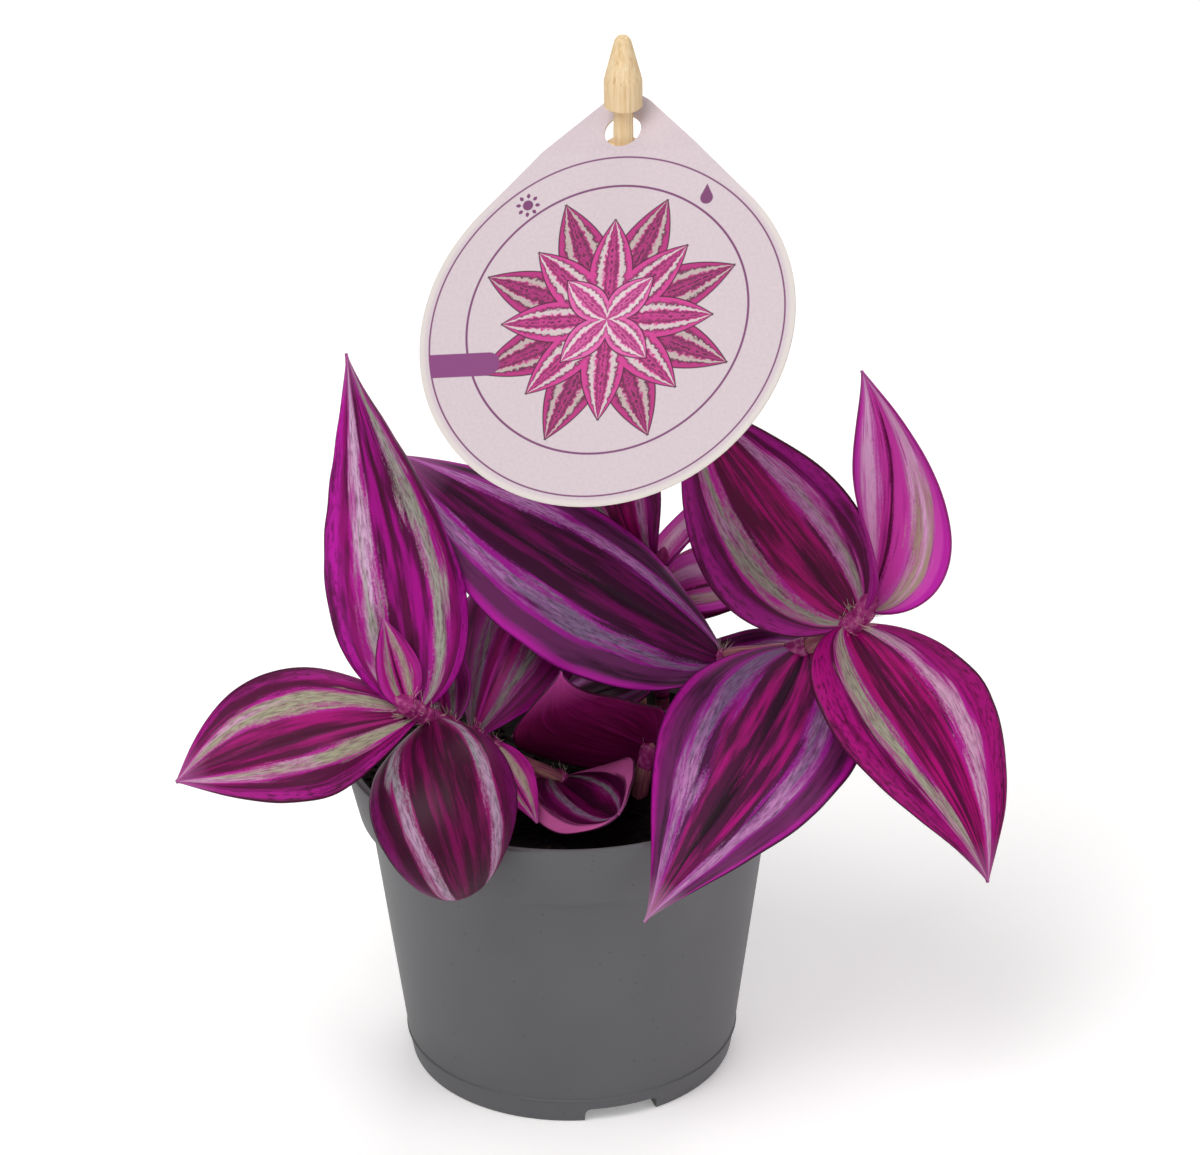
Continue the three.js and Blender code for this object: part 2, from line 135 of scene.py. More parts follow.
def makeCamera():
    camera = bpy.data.objects.new("camera", bpy.data.cameras.new("camera"))
    camera.data.lens = view["lens"]
    camera.data.sensor_width = view["sensorWidth"]
    camera.data.clip_end = view["clipEnd"]
    lookDown = Matrix.Rotation(math.radians(90 - view["elevation"]), 4, "X")
    roll = Matrix.Rotation(math.radians(-view["roll"]), 4, "Z")
    back = lookDown @ Vector((0, 0, view["distance"]))
    place = Matrix.Translation(Vector((view["aimX"], 0, view["aimZ"])) + back)
    camera.matrix_world = place @ lookDown @ roll.inverted()
    bpy.context.scene.collection.objects.link(camera)
    bpy.context.scene.camera = camera
    bpy.context.scene.view_settings.view_transform = "Standard"       # keeps the leaves' strong magenta


lights = {
    "key": {"place": (-0.7, -1.0, 2.1), "size": 1.5, "power": 37},
    "fill": {"place": (1.4, -1.1, 1.2), "size": 1.2, "power": 7},
    "front": {"place": (-0.3, -2.0, 0.9), "size": 1.0, "power": 4},
    "rear": {"place": (0.3, 1.2, 1.7), "size": 1.2, "power": 14},
}
studio = {
    "aimZ": 120 * mm, "lampColour": (1.0, 0.985, 0.97), "skyPower": 0.2,
    "floorHalf": 8, "floorGlow": 0.22,      # keeps the floor white out to its edges
}


def makeLights():
    aim = Vector((0, 0, studio["aimZ"]))
    for name, light in lights.items():
        lamp = bpy.data.lights.new(name, "AREA")
        lamp.size = light["size"]
        lamp.energy = light["power"]
        lamp.color = studio["lampColour"]
        holder = bpy.data.objects.new(name, lamp)
        holder.location = light["place"]
        holder.rotation_euler = (aim - holder.location).to_track_quat("-Z", "Y").to_euler()
        bpy.context.scene.collection.objects.link(holder)
    world = bpy.data.worlds.new("studio")
    world.use_nodes = True
    sky = world.node_tree.nodes["Background"]
    sky.inputs["Color"].default_value = linearColour("#FFFFFF")
    sky.inputs["Strength"].default_value = studio["skyPower"]
    bpy.context.scene.world = world


def makeFloor():
    bm = bmesh.new()
    bmesh.ops.create_grid(bm, x_segments=1, y_segments=1, size=studio["floorHalf"])
    mesh = bpy.data.meshes.new("floor")
    bm.to_mesh(mesh)
    bm.free()
    floor = bpy.data.objects.new("floor", mesh)
    # emulsion paint, rolled on: plain white and quite matt
    studioPaint, _, _ = newFinish("matt white emulsion paint", Roughness=0.9, Emission_Color=(1, 1, 1, 1),
                                  Base_Color=linearColour("#FBFBFB"), Emission_Strength=studio["floorGlow"])
    mesh.materials.append(studioPaint)
    bpy.context.scene.collection.objects.link(floor)


makeCamera()
makeLights()
makeFloor()
print("camera, lights and floor made")


pot = {
    "height": 92.5 * mm, "rimRadius": 60 * mm, "rimInnerRadius": 57.6 * mm,
    "collarHeight": 18.2 * mm, "collarFootRadius": 56 * mm, "bodyTopRadius": 53 * mm, "wall": 1.1 * mm,
    "footHeight": 7.1 * mm, "bodyFootRadius": 44.2 * mm, "footRadius": 43 * mm, "floor": 1.2 * mm,
    "bead": 0.24 * mm, "sides": 160,
    "notches": 3, "firstNotch": -72,        # degrees, anticlockwise from the right
    "notchWidth": 20 * mm, "notchHeight": 4 * mm, "notchReach": 11 * mm, "notchCorner": 1.6 * mm,
    "drainRadius": 2.5 * mm, "drainInset": 2 * mm, "drainSides": 24,
}


def potPolypropylene():
    # recycled polypropylene, injection moulded: even mid grey, satin, with a faint grain and specks of dust
    finish, tree, bsdf = newFinish("grey moulded polypropylene", Roughness=0.5, IOR=1.49,
                                   Specular_IOR_Level=0.35)
    place = addNode(tree, "TexCoord").outputs["Object"]
    cloud = addNode(tree, "TexNoise", {"Vector": place, "Scale": 1 / (30 * mm), "Detail": 4})
    tint = setStops(addNode(tree, "ValToRGB", [cloud]), [(0.3, "#545457"), (0.7, "#5A5A5D")])
    dust = addNode(tree, "TexVoronoi", {"Vector": place, "Scale": 1 / (4.5 * mm)})
    speck = addNode(tree, "MapRange", [dust, 0.03, 0.09, 0.6, 0.0])
    colour = addNode(tree, "Mix", {"Factor": speck, "A": tint, "B": linearColour("#332E2A")},
                     data_type="RGBA")
    tree.links.new(colour.outputs[2], bsdf.inputs["Base Color"])
    grain = addNode(tree, "TexNoise", {"Vector": place, "Scale": 1 / (0.5 * mm), "Detail": 3})
    bump = addNode(tree, "Bump", {"Strength": 0.25, "Distance": 0.05 * mm, "Height": grain})
    tree.links.new(bump.outputs[0], bsdf.inputs["Normal"])
    return finish


def potProfile():
    # radius and height of each ring: from the axis up the outside to the rim, and down the inside again
    height, collarFoot = pot["height"], pot["height"] - pot["collarHeight"]
    wall, foot, bead = pot["wall"], pot["footHeight"], pot["bead"]
    rim, rimInner = pot["rimRadius"], pot["rimInnerRadius"]
    outside = [
        (0, 0), (pot["footRadius"] - 1.0 * mm, 0), (pot["footRadius"] - 0.3 * mm, 0.2 * mm),
        (pot["footRadius"], 0.8 * mm), (pot["bodyFootRadius"] - 0.1 * mm, foot - 0.5 * mm),
        (pot["bodyFootRadius"] + bead, foot - 0.2 * mm), (pot["bodyFootRadius"] + bead, foot + 0.1 * mm),
        (pot["bodyFootRadius"], foot + 0.4 * mm),
        (pot["bodyTopRadius"], collarFoot - 1.4 * mm),
        (pot["bodyTopRadius"] + 0.3 * mm, collarFoot - 0.9 * mm),
        (pot["collarFootRadius"] - 0.7 * mm, collarFoot - 0.1 * mm),
        (pot["collarFootRadius"] - 0.1 * mm, collarFoot + 0.3 * mm),
        (pot["collarFootRadius"] + 0.1 * mm, collarFoot + 1.0 * mm),
        (rim - 0.1 * mm, height - 0.9 * mm), (rim - 0.25 * mm, height - 0.3 * mm), (rim - 0.7 * mm, height),
    ]
    inside = [
        (rimInner + 0.5 * mm, height), (rimInner + 0.1 * mm, height - 0.25 * mm),
        (rimInner, height - 0.8 * mm), (pot["collarFootRadius"] - wall, collarFoot + 2 * mm),
        (pot["bodyTopRadius"] - wall, collarFoot - 2 * mm), (pot["bodyFootRadius"] - wall, foot),
        (pot["footRadius"] - wall, pot["floor"]), (0, pot["floor"]),
    ]
    return outside, inside


def addNotchBlock(bm, angle, width, reach, top, corner):
    # a block that runs in from the foot of the wall, with rounded corners over its opening
    outer = pot["footRadius"] + 3 * mm
    depth = outer - (pot["footRadius"] - reach)
    made = bmesh.ops.create_cube(bm, size=1)["verts"]
    bmesh.ops.scale(bm, vec=(depth, width, 2 * top), verts=made)
    bmesh.ops.translate(bm, vec=(outer - depth / 2, 0, 0), verts=made)
    if corner:
        ridges = [edge for edge in {e for v in made for e in v.link_edges}
                  if all(v.co.z > 0 for v in edge.verts)
                  and abs(edge.verts[0].co.y - edge.verts[1].co.y) < 1e-6]
        rounded = bmesh.ops.bevel(bm, geom=ridges, offset=corner, offset_type="OFFSET", affect="EDGES",
                                  segments=4, profile=0.5, material=-1)["verts"]
        made = [v for v in set(made) | set(rounded) if v.is_valid]
    bmesh.ops.rotate(bm, cent=(0, 0, 0), matrix=Matrix.Rotation(angle, 3, "Z"), verts=made)


def addBoolean(piece, operation, cutter):
    cut = piece.modifiers.new(operation.lower(), "BOOLEAN")
    cut.operation = operation
    cut.solver = "EXACT"
    cut.object = cutter


def cutterObject(bm, name):
    mesh = bpy.data.meshes.new(name)
    bmesh.ops.recalc_face_normals(bm, faces=bm.faces)
    bm.to_mesh(mesh)
    bm.free()
    cutter = bpy.data.objects.new(name, mesh)
    bpy.context.scene.collection.objects.link(cutter)
    return cutter


def makePot():
    outside, inside = potProfile()
    bm = bmesh.new()
    spinProfile(bm, outside + inside, pot["sides"])
    piece = makePiece(bm, "growerPot", [potPolypropylene()], ["grower_pot"])

    # over each notch the floor rises in a hump of the same wall, and a drain hole goes through it
    angles = [math.radians(pot["firstNotch"] + 360 / pot["notches"] * i) for i in range(pot["notches"])]
    humps, shell, openings, drains = bmesh.new(), bmesh.new(), bmesh.new(), bmesh.new()
    wall = pot["wall"]
    for angle in angles:
        addNotchBlock(humps, angle, pot["notchWidth"] + 2 * wall, pot["notchReach"] + wall,
                      pot["notchHeight"] + wall, 0)
        addNotchBlock(openings, angle, pot["notchWidth"], pot["notchReach"], pot["notchHeight"],
                      pot["notchCorner"])
        drain = bmesh.ops.create_cone(
            drains, cap_ends=True, segments=pot["drainSides"], radius1=pot["drainRadius"],
            radius2=pot["drainRadius"], depth=4 * pot["notchHeight"])["verts"]
        reach = pot["footRadius"] - pot["notchReach"] / 2 - pot["drainInset"]
        bmesh.ops.translate(drains, vec=(reach, 0, 0), verts=drain)
        bmesh.ops.rotate(drains, cent=(0, 0, 0), matrix=Matrix.Rotation(angle, 3, "Z"), verts=drain)
    spinProfile(shell, outside + [(0, pot["height"])], pot["sides"])
    cutters = {name: cutterObject(shape, name) for name, shape in
               (("humps", humps), ("shell", shell), ("openings", openings), ("drains", drains))}
    addBoolean(cutters["humps"], "INTERSECT", cutters["shell"])
    addBoolean(piece, "UNION", cutters["humps"])
    addBoolean(piece, "DIFFERENCE", cutters["openings"])
    addBoolean(piece, "DIFFERENCE", cutters["drains"])
    applyModifiers(piece)
    for cutter in cutters.values():
        bpy.data.objects.remove(cutter)
    bpy.context.view_layer.update()
    piece.data.set_sharp_from_angle(angle=math.radians(35))


makePot()
print("pot made")


soil = {
    "level": 80 * mm, "underside": 6 * mm, "edgeInset": 0.6 * mm, "edgeDrop": 0.8 * mm,
    "rings": 70, "sides": 200,
    "relief": 0.7 * mm, "swell": 9 * mm, "lump": 2.2 * mm, "fine": 0.8 * mm,      # its unevenness, in 3 sizes
    "crumbs": 900, "crumb": 1.3 * mm, "seed": 7,
    "fibres": 130, "fibreLength": (3, 9), "fibreRadii": (0.16, 0.08),             # mm
    "fibreTilt": 86,                                                              # degrees from upright
}


def peatCompost():
    # moist peat compost, loose: nearly black crumbs with brown fibres, quite matt
    finish, tree, bsdf = newFinish("moist peat compost", Roughness=0.95, IOR=1.4, Specular_IOR_Level=0.2)
    place = addNode(tree, "TexCoord").outputs["Object"]
    crumbs = addNode(tree, "TexNoise", {"Vector": place, "Scale": 1 / (1.6 * mm), "Detail": 6})
    tint = setStops(addNode(tree, "ValToRGB", [crumbs]),
                    [(0.35, "#080606"), (0.55, "#120E0C"), (0.68, "#231A14"), (0.78, "#3A2B20")])
    tree.links.new(tint.outputs[0], bsdf.inputs["Base Color"])
    bump = addNode(tree, "Bump", {"Strength": 0.7, "Distance": 0.4 * mm, "Height": crumbs})
    tree.links.new(bump.outputs[0], bsdf.inputs["Normal"])
    return finish


def soilRadius(height):
    # inside the pot's wall, less the gap
    collarFoot = pot["height"] - pot["collarHeight"]
    low = (pot["collarFootRadius"] - pot["wall"], collarFoot + 2 * mm)
    high = (pot["rimInnerRadius"], pot["height"])
    share = (height - low[1]) / (high[1] - low[1])
    return low[0] + (high[0] - low[0]) * share - gap


def soilHeight(x, y, radius):
    # uneven in three sizes, and calmer towards the pot's wall
    fade = 1 - min(math.hypot(x, y) / radius, 1) ** 6
    broad = noise.noise(Vector((x, y, 0)) / soil["swell"]) * 0.9
    crumb = noise.fractal(Vector((x, y, 3)) / soil["lump"], 0.8, 2.0, 4) * 0.9
    fine = noise.noise(Vector((x, y, 9)) / soil["fine"]) * 0.35
    return soil["level"] + soil["relief"] * (broad + crumb + fine) * (0.25 + 0.75 * fade)


def addCrumbs(bm, radius):
    # each crumb is shaped in a bmesh of its own, which is far quicker than in the whole soil's
    draw = random.Random(soil["seed"])
    scrap = bpy.data.meshes.new("crumb")
    for index in range(soil["crumbs"] + soil["fibres"]):
        reach, turn = radius * math.sqrt(draw.random()), draw.uniform(0, 2 * math.pi)
        x, y = reach * math.cos(turn), reach * math.sin(turn)
        crumb = bmesh.new()
        if index < soil["crumbs"]:
            size = soil["crumb"] * draw.uniform(0.5, 1) ** 3
            bmesh.ops.create_icosphere(crumb, subdivisions=1, radius=size)
            for vertex in crumb.verts:
                vertex.co *= draw.uniform(0.7, 1.2)
            stretch, lift = (draw.uniform(0.8, 1.6), draw.uniform(0.7, 1.2), 0.7), size * 0.25
        else:
            thick, thin = soil["fibreRadii"]
            bmesh.ops.create_cone(crumb, cap_ends=True, segments=4, radius1=thick * mm, radius2=thin * mm,
                                  depth=draw.uniform(*soil["fibreLength"]) * mm)
            lay = Matrix.Rotation(math.radians(soil["fibreTilt"]), 3, "X")
            bmesh.ops.rotate(crumb, cent=(0, 0, 0), matrix=lay, verts=crumb.verts)
            stretch, lift = (1, 1, 1), 0.2 * mm
        bmesh.ops.scale(crumb, vec=stretch, verts=crumb.verts)
        spin = Matrix.Rotation(draw.uniform(0, 6.3), 3, "Z")
        bmesh.ops.rotate(crumb, cent=(0, 0, 0), matrix=spin, verts=crumb.verts)
        bmesh.ops.translate(crumb, vec=(x, y, soilHeight(x, y, radius) + lift), verts=crumb.verts)
        crumb.to_mesh(scrap)
        crumb.free()
        bm.from_mesh(scrap)
    bpy.data.meshes.remove(scrap)


def makeSoil():
    level, radius = soil["level"], soilRadius(soil["level"])
    collarFoot = pot["height"] - pot["collarHeight"]
    wall = pot["wall"] + gap
    inset = radius - soil["edgeInset"]
    top = [(inset * (1 - ring / soil["rings"]), level) for ring in range(soil["rings"])]
    profile = [
        (0, soil["underside"]), (pot["bodyFootRadius"] - wall - 0.4 * mm, soil["underside"]),
        (pot["bodyFootRadius"] - wall, pot["footHeight"]),
        (pot["bodyTopRadius"] - wall, collarFoot - 2 * mm),
        (pot["collarFootRadius"] - wall, collarFoot + 2 * mm), (radius, level - soil["edgeDrop"]),
        *top, (0, level),
    ]
    bm = bmesh.new()
    spinProfile(bm, profile, soil["sides"])
    for vertex in bm.verts:
        if vertex.co.z > level - 0.1 * mm:
            vertex.co.z = soilHeight(vertex.co.x, vertex.co.y, radius)
    addCrumbs(bm, radius - 2 * mm)
    makePiece(bm, "pottingSoil", [peatCompost()], ["potting_soil"])


makeSoil()
print("soil made")


peg = {
    "x": 16 * mm, "y": 28 * mm, "bottom": 24 * mm, "top": 283 * mm, "radius": 5 * mm, "tipRadius": 1.8 * mm,
    "tipLength": 12 * mm, "headLength": 19.5 * mm, "neckLength": 10.5 * mm, "neckRadius": 2.7 * mm,
    "pointLength": 14 * mm, "pointRadius": 0.8 * mm, "chamfer": 0.6 * mm,
    "sides": 64, "dowelRings": 24, "neckRings": 6, "headRings": 4, "tipRings": 6,
    "dowelRough": 0.05 * mm, "neckRough": 0.22 * mm,
    "cuts": 9, "seed": 3,      # flats that the knife left on the head
}


def rawBirch():
    # birch dowel, turned and left raw: pale straw colour, fine straight grain along it, matt
    finish, tree, bsdf = newFinish("raw birch dowel", Roughness=0.65, IOR=1.5, Specular_IOR_Level=0.3)
    place = addNode(tree, "TexCoord").outputs["Object"]
    along = addNode(tree, "Mapping", {"Vector": place,
                                      "Scale": (1 / (0.7 * mm), 1 / (0.7 * mm), 1 / (22 * mm))})
    grain = addNode(tree, "TexNoise", {"Vector": along, "Scale": 1.0, "Detail": 5, "Roughness": 0.6})
    tint = setStops(addNode(tree, "ValToRGB", [grain]),
                    [(0.28, "#C49E6C"), (0.42, "#E0C294"), (0.6, "#EBD3AC"), (0.78, "#F2E0BE")])
    tree.links.new(tint.outputs[0], bsdf.inputs["Base Color"])
    bump = addNode(tree, "Bump", {"Strength": 0.5, "Distance": 0.12 * mm, "Height": grain})
    tree.links.new(bump.outputs[0], bsdf.inputs["Normal"])
    return finish


def makePeg():
    radius, top, bottom, neck = peg["radius"], peg["top"], peg["bottom"], peg["neckRadius"]
    headFoot = top - peg["headLength"]
    shoulder = headFoot - peg["neckLength"]
    tipFoot = top - peg["tipLength"]
    profile = [(0, bottom), (peg["pointRadius"], bottom), (radius, bottom + peg["pointLength"])]
    straight = shoulder - peg["chamfer"] - bottom - peg["pointLength"]
    rings = peg["dowelRings"]
    profile += [(radius, bottom + peg["pointLength"] + straight * (i + 1) / rings) for i in range(rings)]
    profile += [(radius - peg["chamfer"], shoulder)]
    rings = peg["neckRings"]
    profile += [(neck, shoulder + peg["neckLength"] * i / rings) for i in range(rings + 1)]
    lip = headFoot + 0.35 * mm
    profile += [(radius - 0.3 * mm, headFoot), (radius, lip)]
    rings = peg["headRings"]
    profile += [(radius, lip + (tipFoot - lip) * (i + 1) / rings) for i in range(rings)]
    rings = peg["tipRings"]
    profile += [(radius + (peg["tipRadius"] + 0.4 * mm - radius) * (i + 1) / rings,
                 tipFoot + (peg["tipLength"] - 1 * mm) * (i + 1) / rings) for i in range(rings)]
    profile += [(peg["tipRadius"] - 0.3 * mm, top), (0, top)]
    bm = bmesh.new()
    spinProfile(bm, profile, peg["sides"])
    draw = random.Random(peg["seed"])
    slope = math.atan2(radius - peg["tipRadius"], peg["tipLength"])
    for index in range(peg["cuts"]):
        turn = 2 * math.pi * (index + draw.uniform(-0.25, 0.25)) / peg["cuts"]
        tilt = slope + math.radians(draw.uniform(-3, 1))
        facing = Vector((math.cos(turn) * math.cos(tilt), math.sin(turn) * math.cos(tilt), math.sin(tilt)))
        start = Vector((math.cos(turn) * radius, math.sin(turn) * radius,
                        tipFoot + draw.uniform(-1.0, 0.6) * mm))
        cut = bmesh.ops.bisect_plane(bm, geom=bm.verts[:] + bm.edges[:] + bm.faces[:], dist=1e-7,
                                     plane_co=start, plane_no=facing, clear_outer=True)
        edges = [item for item in cut["geom_cut"] if isinstance(item, bmesh.types.BMEdge)]
        bmesh.ops.contextual_create(bm, geom=edges)
    for vertex in bm.verts:      # the dowel is a little uneven, and the neck more so
        onNeck = shoulder + 0.5 * mm < vertex.co.z < headFoot - 0.5 * mm
        rough = peg["neckRough"] if onNeck else peg["dowelRough"]
        flat = Vector((vertex.co.x, vertex.co.y, 0))
        if flat.length > 1 * mm:
            sample = Vector((vertex.co.x / (1.5 * mm), vertex.co.y / (1.5 * mm), vertex.co.z / (6 * mm)))
            vertex.co -= flat.normalized() * rough * (0.5 + 0.5 * noise.noise(sample))
    bmesh.ops.translate(bm, vec=(peg["x"], peg["y"], 0), verts=bm.verts)
    piece = makePiece(bm, "roundPeg", [rawBirch()], ["round_peg"])
    piece.data.set_sharp_from_angle(angle=math.radians(18))


makePeg()
print("peg made")


card = {
    "radius": 50 * mm, "pointRadius": 9 * mm, "holeRadius": 4.9 * mm, "thickness": 0.6 * mm,
    "holeReach": 55.4 * mm,         # from the disc's middle to the hole's
    "pointReach": 70.9 * mm,        # from the disc's middle to where the two straight sides would meet
    "bend": 10,                     # degrees, over bendLength from bendStart below the hole
    "bendStart": 6 * mm, "bendLength": 24 * mm,
    "normal": (-0.281, -0.584, 0.762), "up": (0.092, 0.774, 0.627), "rings": 36, "sides": 240,
    "aboveShoulder": 4.3 * mm,      # where the card's plane meets the neck's axis, over the neck's lower end
    "slack": 1 * mm,                # how far the hole's middle has slid down from there
}

# the print, measured from the middle of the disc along the card's own right and up
printed = {
    "line": "#76386A", "ringRadius": 47.3 * mm, "ringWidth": 0.45 * mm,
    "innerRing": 37.5 * mm, "innerWidth": 0.6 * mm, "softness": 0.12 * mm,
    "middle": (0, 2 * mm), "heart": 13 * mm, "heartInk": "#4A1436",
    "leafLine": 0.35 * mm, "leafLineInk": "#3E102E",
    "sun": (-24 * mm, 35.5 * mm), "sunRadius": 1.4 * mm, "sunRays": (8, 0.0, 1.9 * mm, 3.3 * mm, 0.5 * mm),
    "drop": (24 * mm, 35 * mm), "dropRadius": 1.7 * mm, "dropNeck": 0.75 * mm, "dropTip": 3.9 * mm,
    "tab": (-31 * mm, -9 * mm), "tabHalf": 3.3 * mm, "tabInk": "#823C77",
    "border": 48.6 * mm, "borderSoftness": 0.4 * mm, "borderInk": "#D6CECB",
    "leaves": (     # count, turn, start, end, half width, and the dark, pale and bright inks
        (8, 0.5, 3 * mm, 35.5 * mm, 6.6 * mm, "#5A1840", "#B9A7A6", "#B02878"),
        (8, 0.0, 1 * mm, 28 * mm, 5.6 * mm, "#6E1A4C", "#CDBCC0", "#C8388C"),
        (4, 0.5, 0, 16 * mm, 4.4 * mm, "#8C2462", "#D8C8CC", "#D85CA4"),
    ),
}


def cardOutline(count):
    # the arc of the disc, then the small arc of the point, about the middle of the hole
    radius, small = card["radius"], card["pointRadius"]
    tangent = math.asin(radius / card["pointReach"])
    sine, cosine = math.sin(tangent), math.cos(tangent)
    discY = -card["holeReach"]
    pointY = discY + card["pointReach"] - small / sine
    side = math.hypot(radius * cosine - small * cosine, discY + radius * sine - pointY - small * sine)
    lengths = [radius * (math.pi + 2 * tangent), side, small * (math.pi - 2 * tangent), side]
    corners = [Vector((radius * cosine, discY + radius * sine)),
               Vector((small * cosine, pointY + small * sine))]
    points = []
    for index in range(count):
        along = sum(lengths) * index / count
        if along < lengths[0]:
            angle = math.pi - tangent + along / radius
            points.append(Vector((radius * math.cos(angle), discY + radius * math.sin(angle))))
        elif along < lengths[0] + side:
            points.append(corners[0].lerp(corners[1], (along - lengths[0]) / side))
        elif along < sum(lengths[:3]):
            angle = tangent + (along - lengths[0] - side) / small
            points.append(Vector((small * math.cos(angle), pointY + small * math.sin(angle))))
        else:
            share = (along - sum(lengths[:3])) / side
            left = [Vector((-corner.x, corner.y)) for corner in corners]
            points.append(left[1].lerp(left[0], share))
    return points


def bendCard(across, along):
    # a point of the flat card, measured from its hole: it is flat but for a soft bend under the hole
    normal = Vector(card["normal"]).normalized()
    right = Vector(card["up"]).cross(normal).normalized()
    up = normal.cross(right)
    full = math.radians(card["bend"])
    curve = card["bendLength"] / full
    below = min(max(-along - card["bendStart"], 0), card["bendLength"])
    turn = full * (1 - below / card["bendLength"])
    upper = up * math.cos(full) - normal * math.sin(full)
    arc = (-normal * (math.cos(turn) - math.cos(full)) * curve
           - up * (math.sin(full) - math.sin(turn)) * curve)
    shoulder = peg["top"] - peg["headLength"] - peg["neckLength"]
    hole = Vector((peg["x"], peg["y"], shoulder + card["aboveShoulder"]))
    return (hole + right * across + upper * (max(along, -card["bendStart"]) - card["slack"]) + arc
            + up * min(along + card["bendStart"] + card["bendLength"], 0))


def makeCard():
    sides, rings = card["sides"], card["rings"]
    outline = cardOutline(sides)
    bm = bmesh.new()
    layer = bm.loops.layers.uv.new("print")
    bmesh.ops.create_grid(bm, x_segments=sides, y_segments=rings, size=0.5)
    flat = {}
    for vertex in bm.verts:
        step, share = round((vertex.co.x + 0.5) * sides), vertex.co.y + 0.5
        edge = outline[step % sides]
        hole = edge.normalized() * card["holeRadius"]
        flat[vertex] = edge.lerp(hole, share)
    for face in bm.faces:
        for loop in face.loops:
            point = flat[loop.vert]
            loop[layer].uv = (point.x, point.y + card["holeReach"])
    for vertex, point in flat.items():
        vertex.co = bendCard(point.x, point.y)
    bmesh.ops.remove_doubles(bm, verts=bm.verts, dist=1e-6)
    finishes = [cardFront(), cardBack(), cardCore()]
    piece = makePiece(bm, "cardLabel", finishes, ["card_label"])
    wall = piece.modifiers.new("card", "SOLIDIFY")
    wall.thickness = card["thickness"]
    wall.offset = 0
    wall.material_offset = 1
    wall.material_offset_rim = 2
    applyModifiers(piece)
    piece.data.set_sharp_from_angle(angle=math.radians(40))


def cardCore():
    # the cut edge of the card: uncoated, cream white
    finish, tree, bsdf = newFinish("white core of the card", Roughness=0.8, IOR=1.5)
    place = addNode(tree, "TexCoord").outputs["Object"]
    fibre = addNode(tree, "TexNoise", {"Vector": place, "Scale": 1 / (0.8 * mm), "Detail": 3})
    tint = setStops(addNode(tree, "ValToRGB", [fibre]), [(0.3, "#DCD3CB"), (0.7, "#E9E1D8")])
    tree.links.new(tint.outputs[0], bsdf.inputs["Base Color"])
    return finish


def cardBack():
    # unprinted back of the card: the same pale tint, with a faint cloud of fibres
    finish, tree, bsdf = newFinish("back of the coated card", Roughness=0.6, IOR=1.5, Specular_IOR_Level=0.3)
    place = addNode(tree, "TexCoord").outputs["Object"]
    fibre = addNode(tree, "TexNoise", {"Vector": place, "Scale": 1 / (2.5 * mm), "Detail": 5})
    tint = setStops(addNode(tree, "ValToRGB", [fibre]), [(0.3, "#DCD2D3"), (0.7, "#E4DBDB")])
    tree.links.new(tint.outputs[0], bsdf.inputs["Base Color"])
    return finish


def distanceTo(tree, axes, centre):
    # offsets, distance and angle of a point of the print from a centre
    across = addNode(tree, "Math", [axes.outputs["X"], centre[0]], operation="SUBTRACT")
    along = addNode(tree, "Math", [axes.outputs["Y"], centre[1]], operation="SUBTRACT")
    offset = addNode(tree, "CombineXYZ", [across, along])
    reach = addNode(tree, "VectorMath", [offset], operation="LENGTH")
    angle = addNode(tree, "Math", [across, along], operation="ARCTAN2")
    return across, along, reach.outputs["Value"], angle


def printedLine(tree, reach, radius, width):
    # the signed distance of a thin circle
    off = addNode(tree, "Math", [reach, radius], operation="SUBTRACT")
    size = addNode(tree, "Math", [off], operation="ABSOLUTE")
    return addNode(tree, "Math", [size, width / 2], operation="SUBTRACT")


def printedLeaves(tree, reach, angle, count, turn, start, end, width):
    # a ring of equal pointed leaves: their signed distance, and the share across each half
    sectors = addNode(tree, "Math", [angle, count / (2 * math.pi), 0.5 + turn], operation="MULTIPLY_ADD")
    part = addNode(tree, "Math", [sectors], operation="FRACT")
    wrapped = addNode(tree, "Math", [part, 2 * math.pi / count, -math.pi / count], operation="MULTIPLY_ADD")
    cosine = addNode(tree, "Math", [wrapped], operation="COSINE")
    along = addNode(tree, "Math", [reach, cosine], operation="MULTIPLY")
    sine = addNode(tree, "Math", [wrapped], operation="SINE")
    side = addNode(tree, "Math", [reach, sine], operation="MULTIPLY")
    across = addNode(tree, "Math", [side], operation="ABSOLUTE")
    share = addNode(tree, "MapRange", [along, start, end, 0.0, 1.0])
    rest = addNode(tree, "Math", [1.0, share], operation="SUBTRACT")
    swell = addNode(tree, "Math", [share, 0.8], operation="POWER")
    both = addNode(tree, "Math", [swell, rest], operation="MULTIPLY")
    half = addNode(tree, "Math", [both, width * 3.44], operation="MULTIPLY")      # both is 1 / 3.44 at most
    safe = addNode(tree, "Math", [half, 0.05 * mm], operation="ADD")
    past = addNode(tree, "Math", [along, end], operation="SUBTRACT")
    beside = addNode(tree, "Math", [across, half], operation="SUBTRACT")
    outline = addNode(tree, "Math", [beside, past], operation="MAXIMUM")
    return outline, addNode(tree, "Math", [across, safe], operation="DIVIDE")


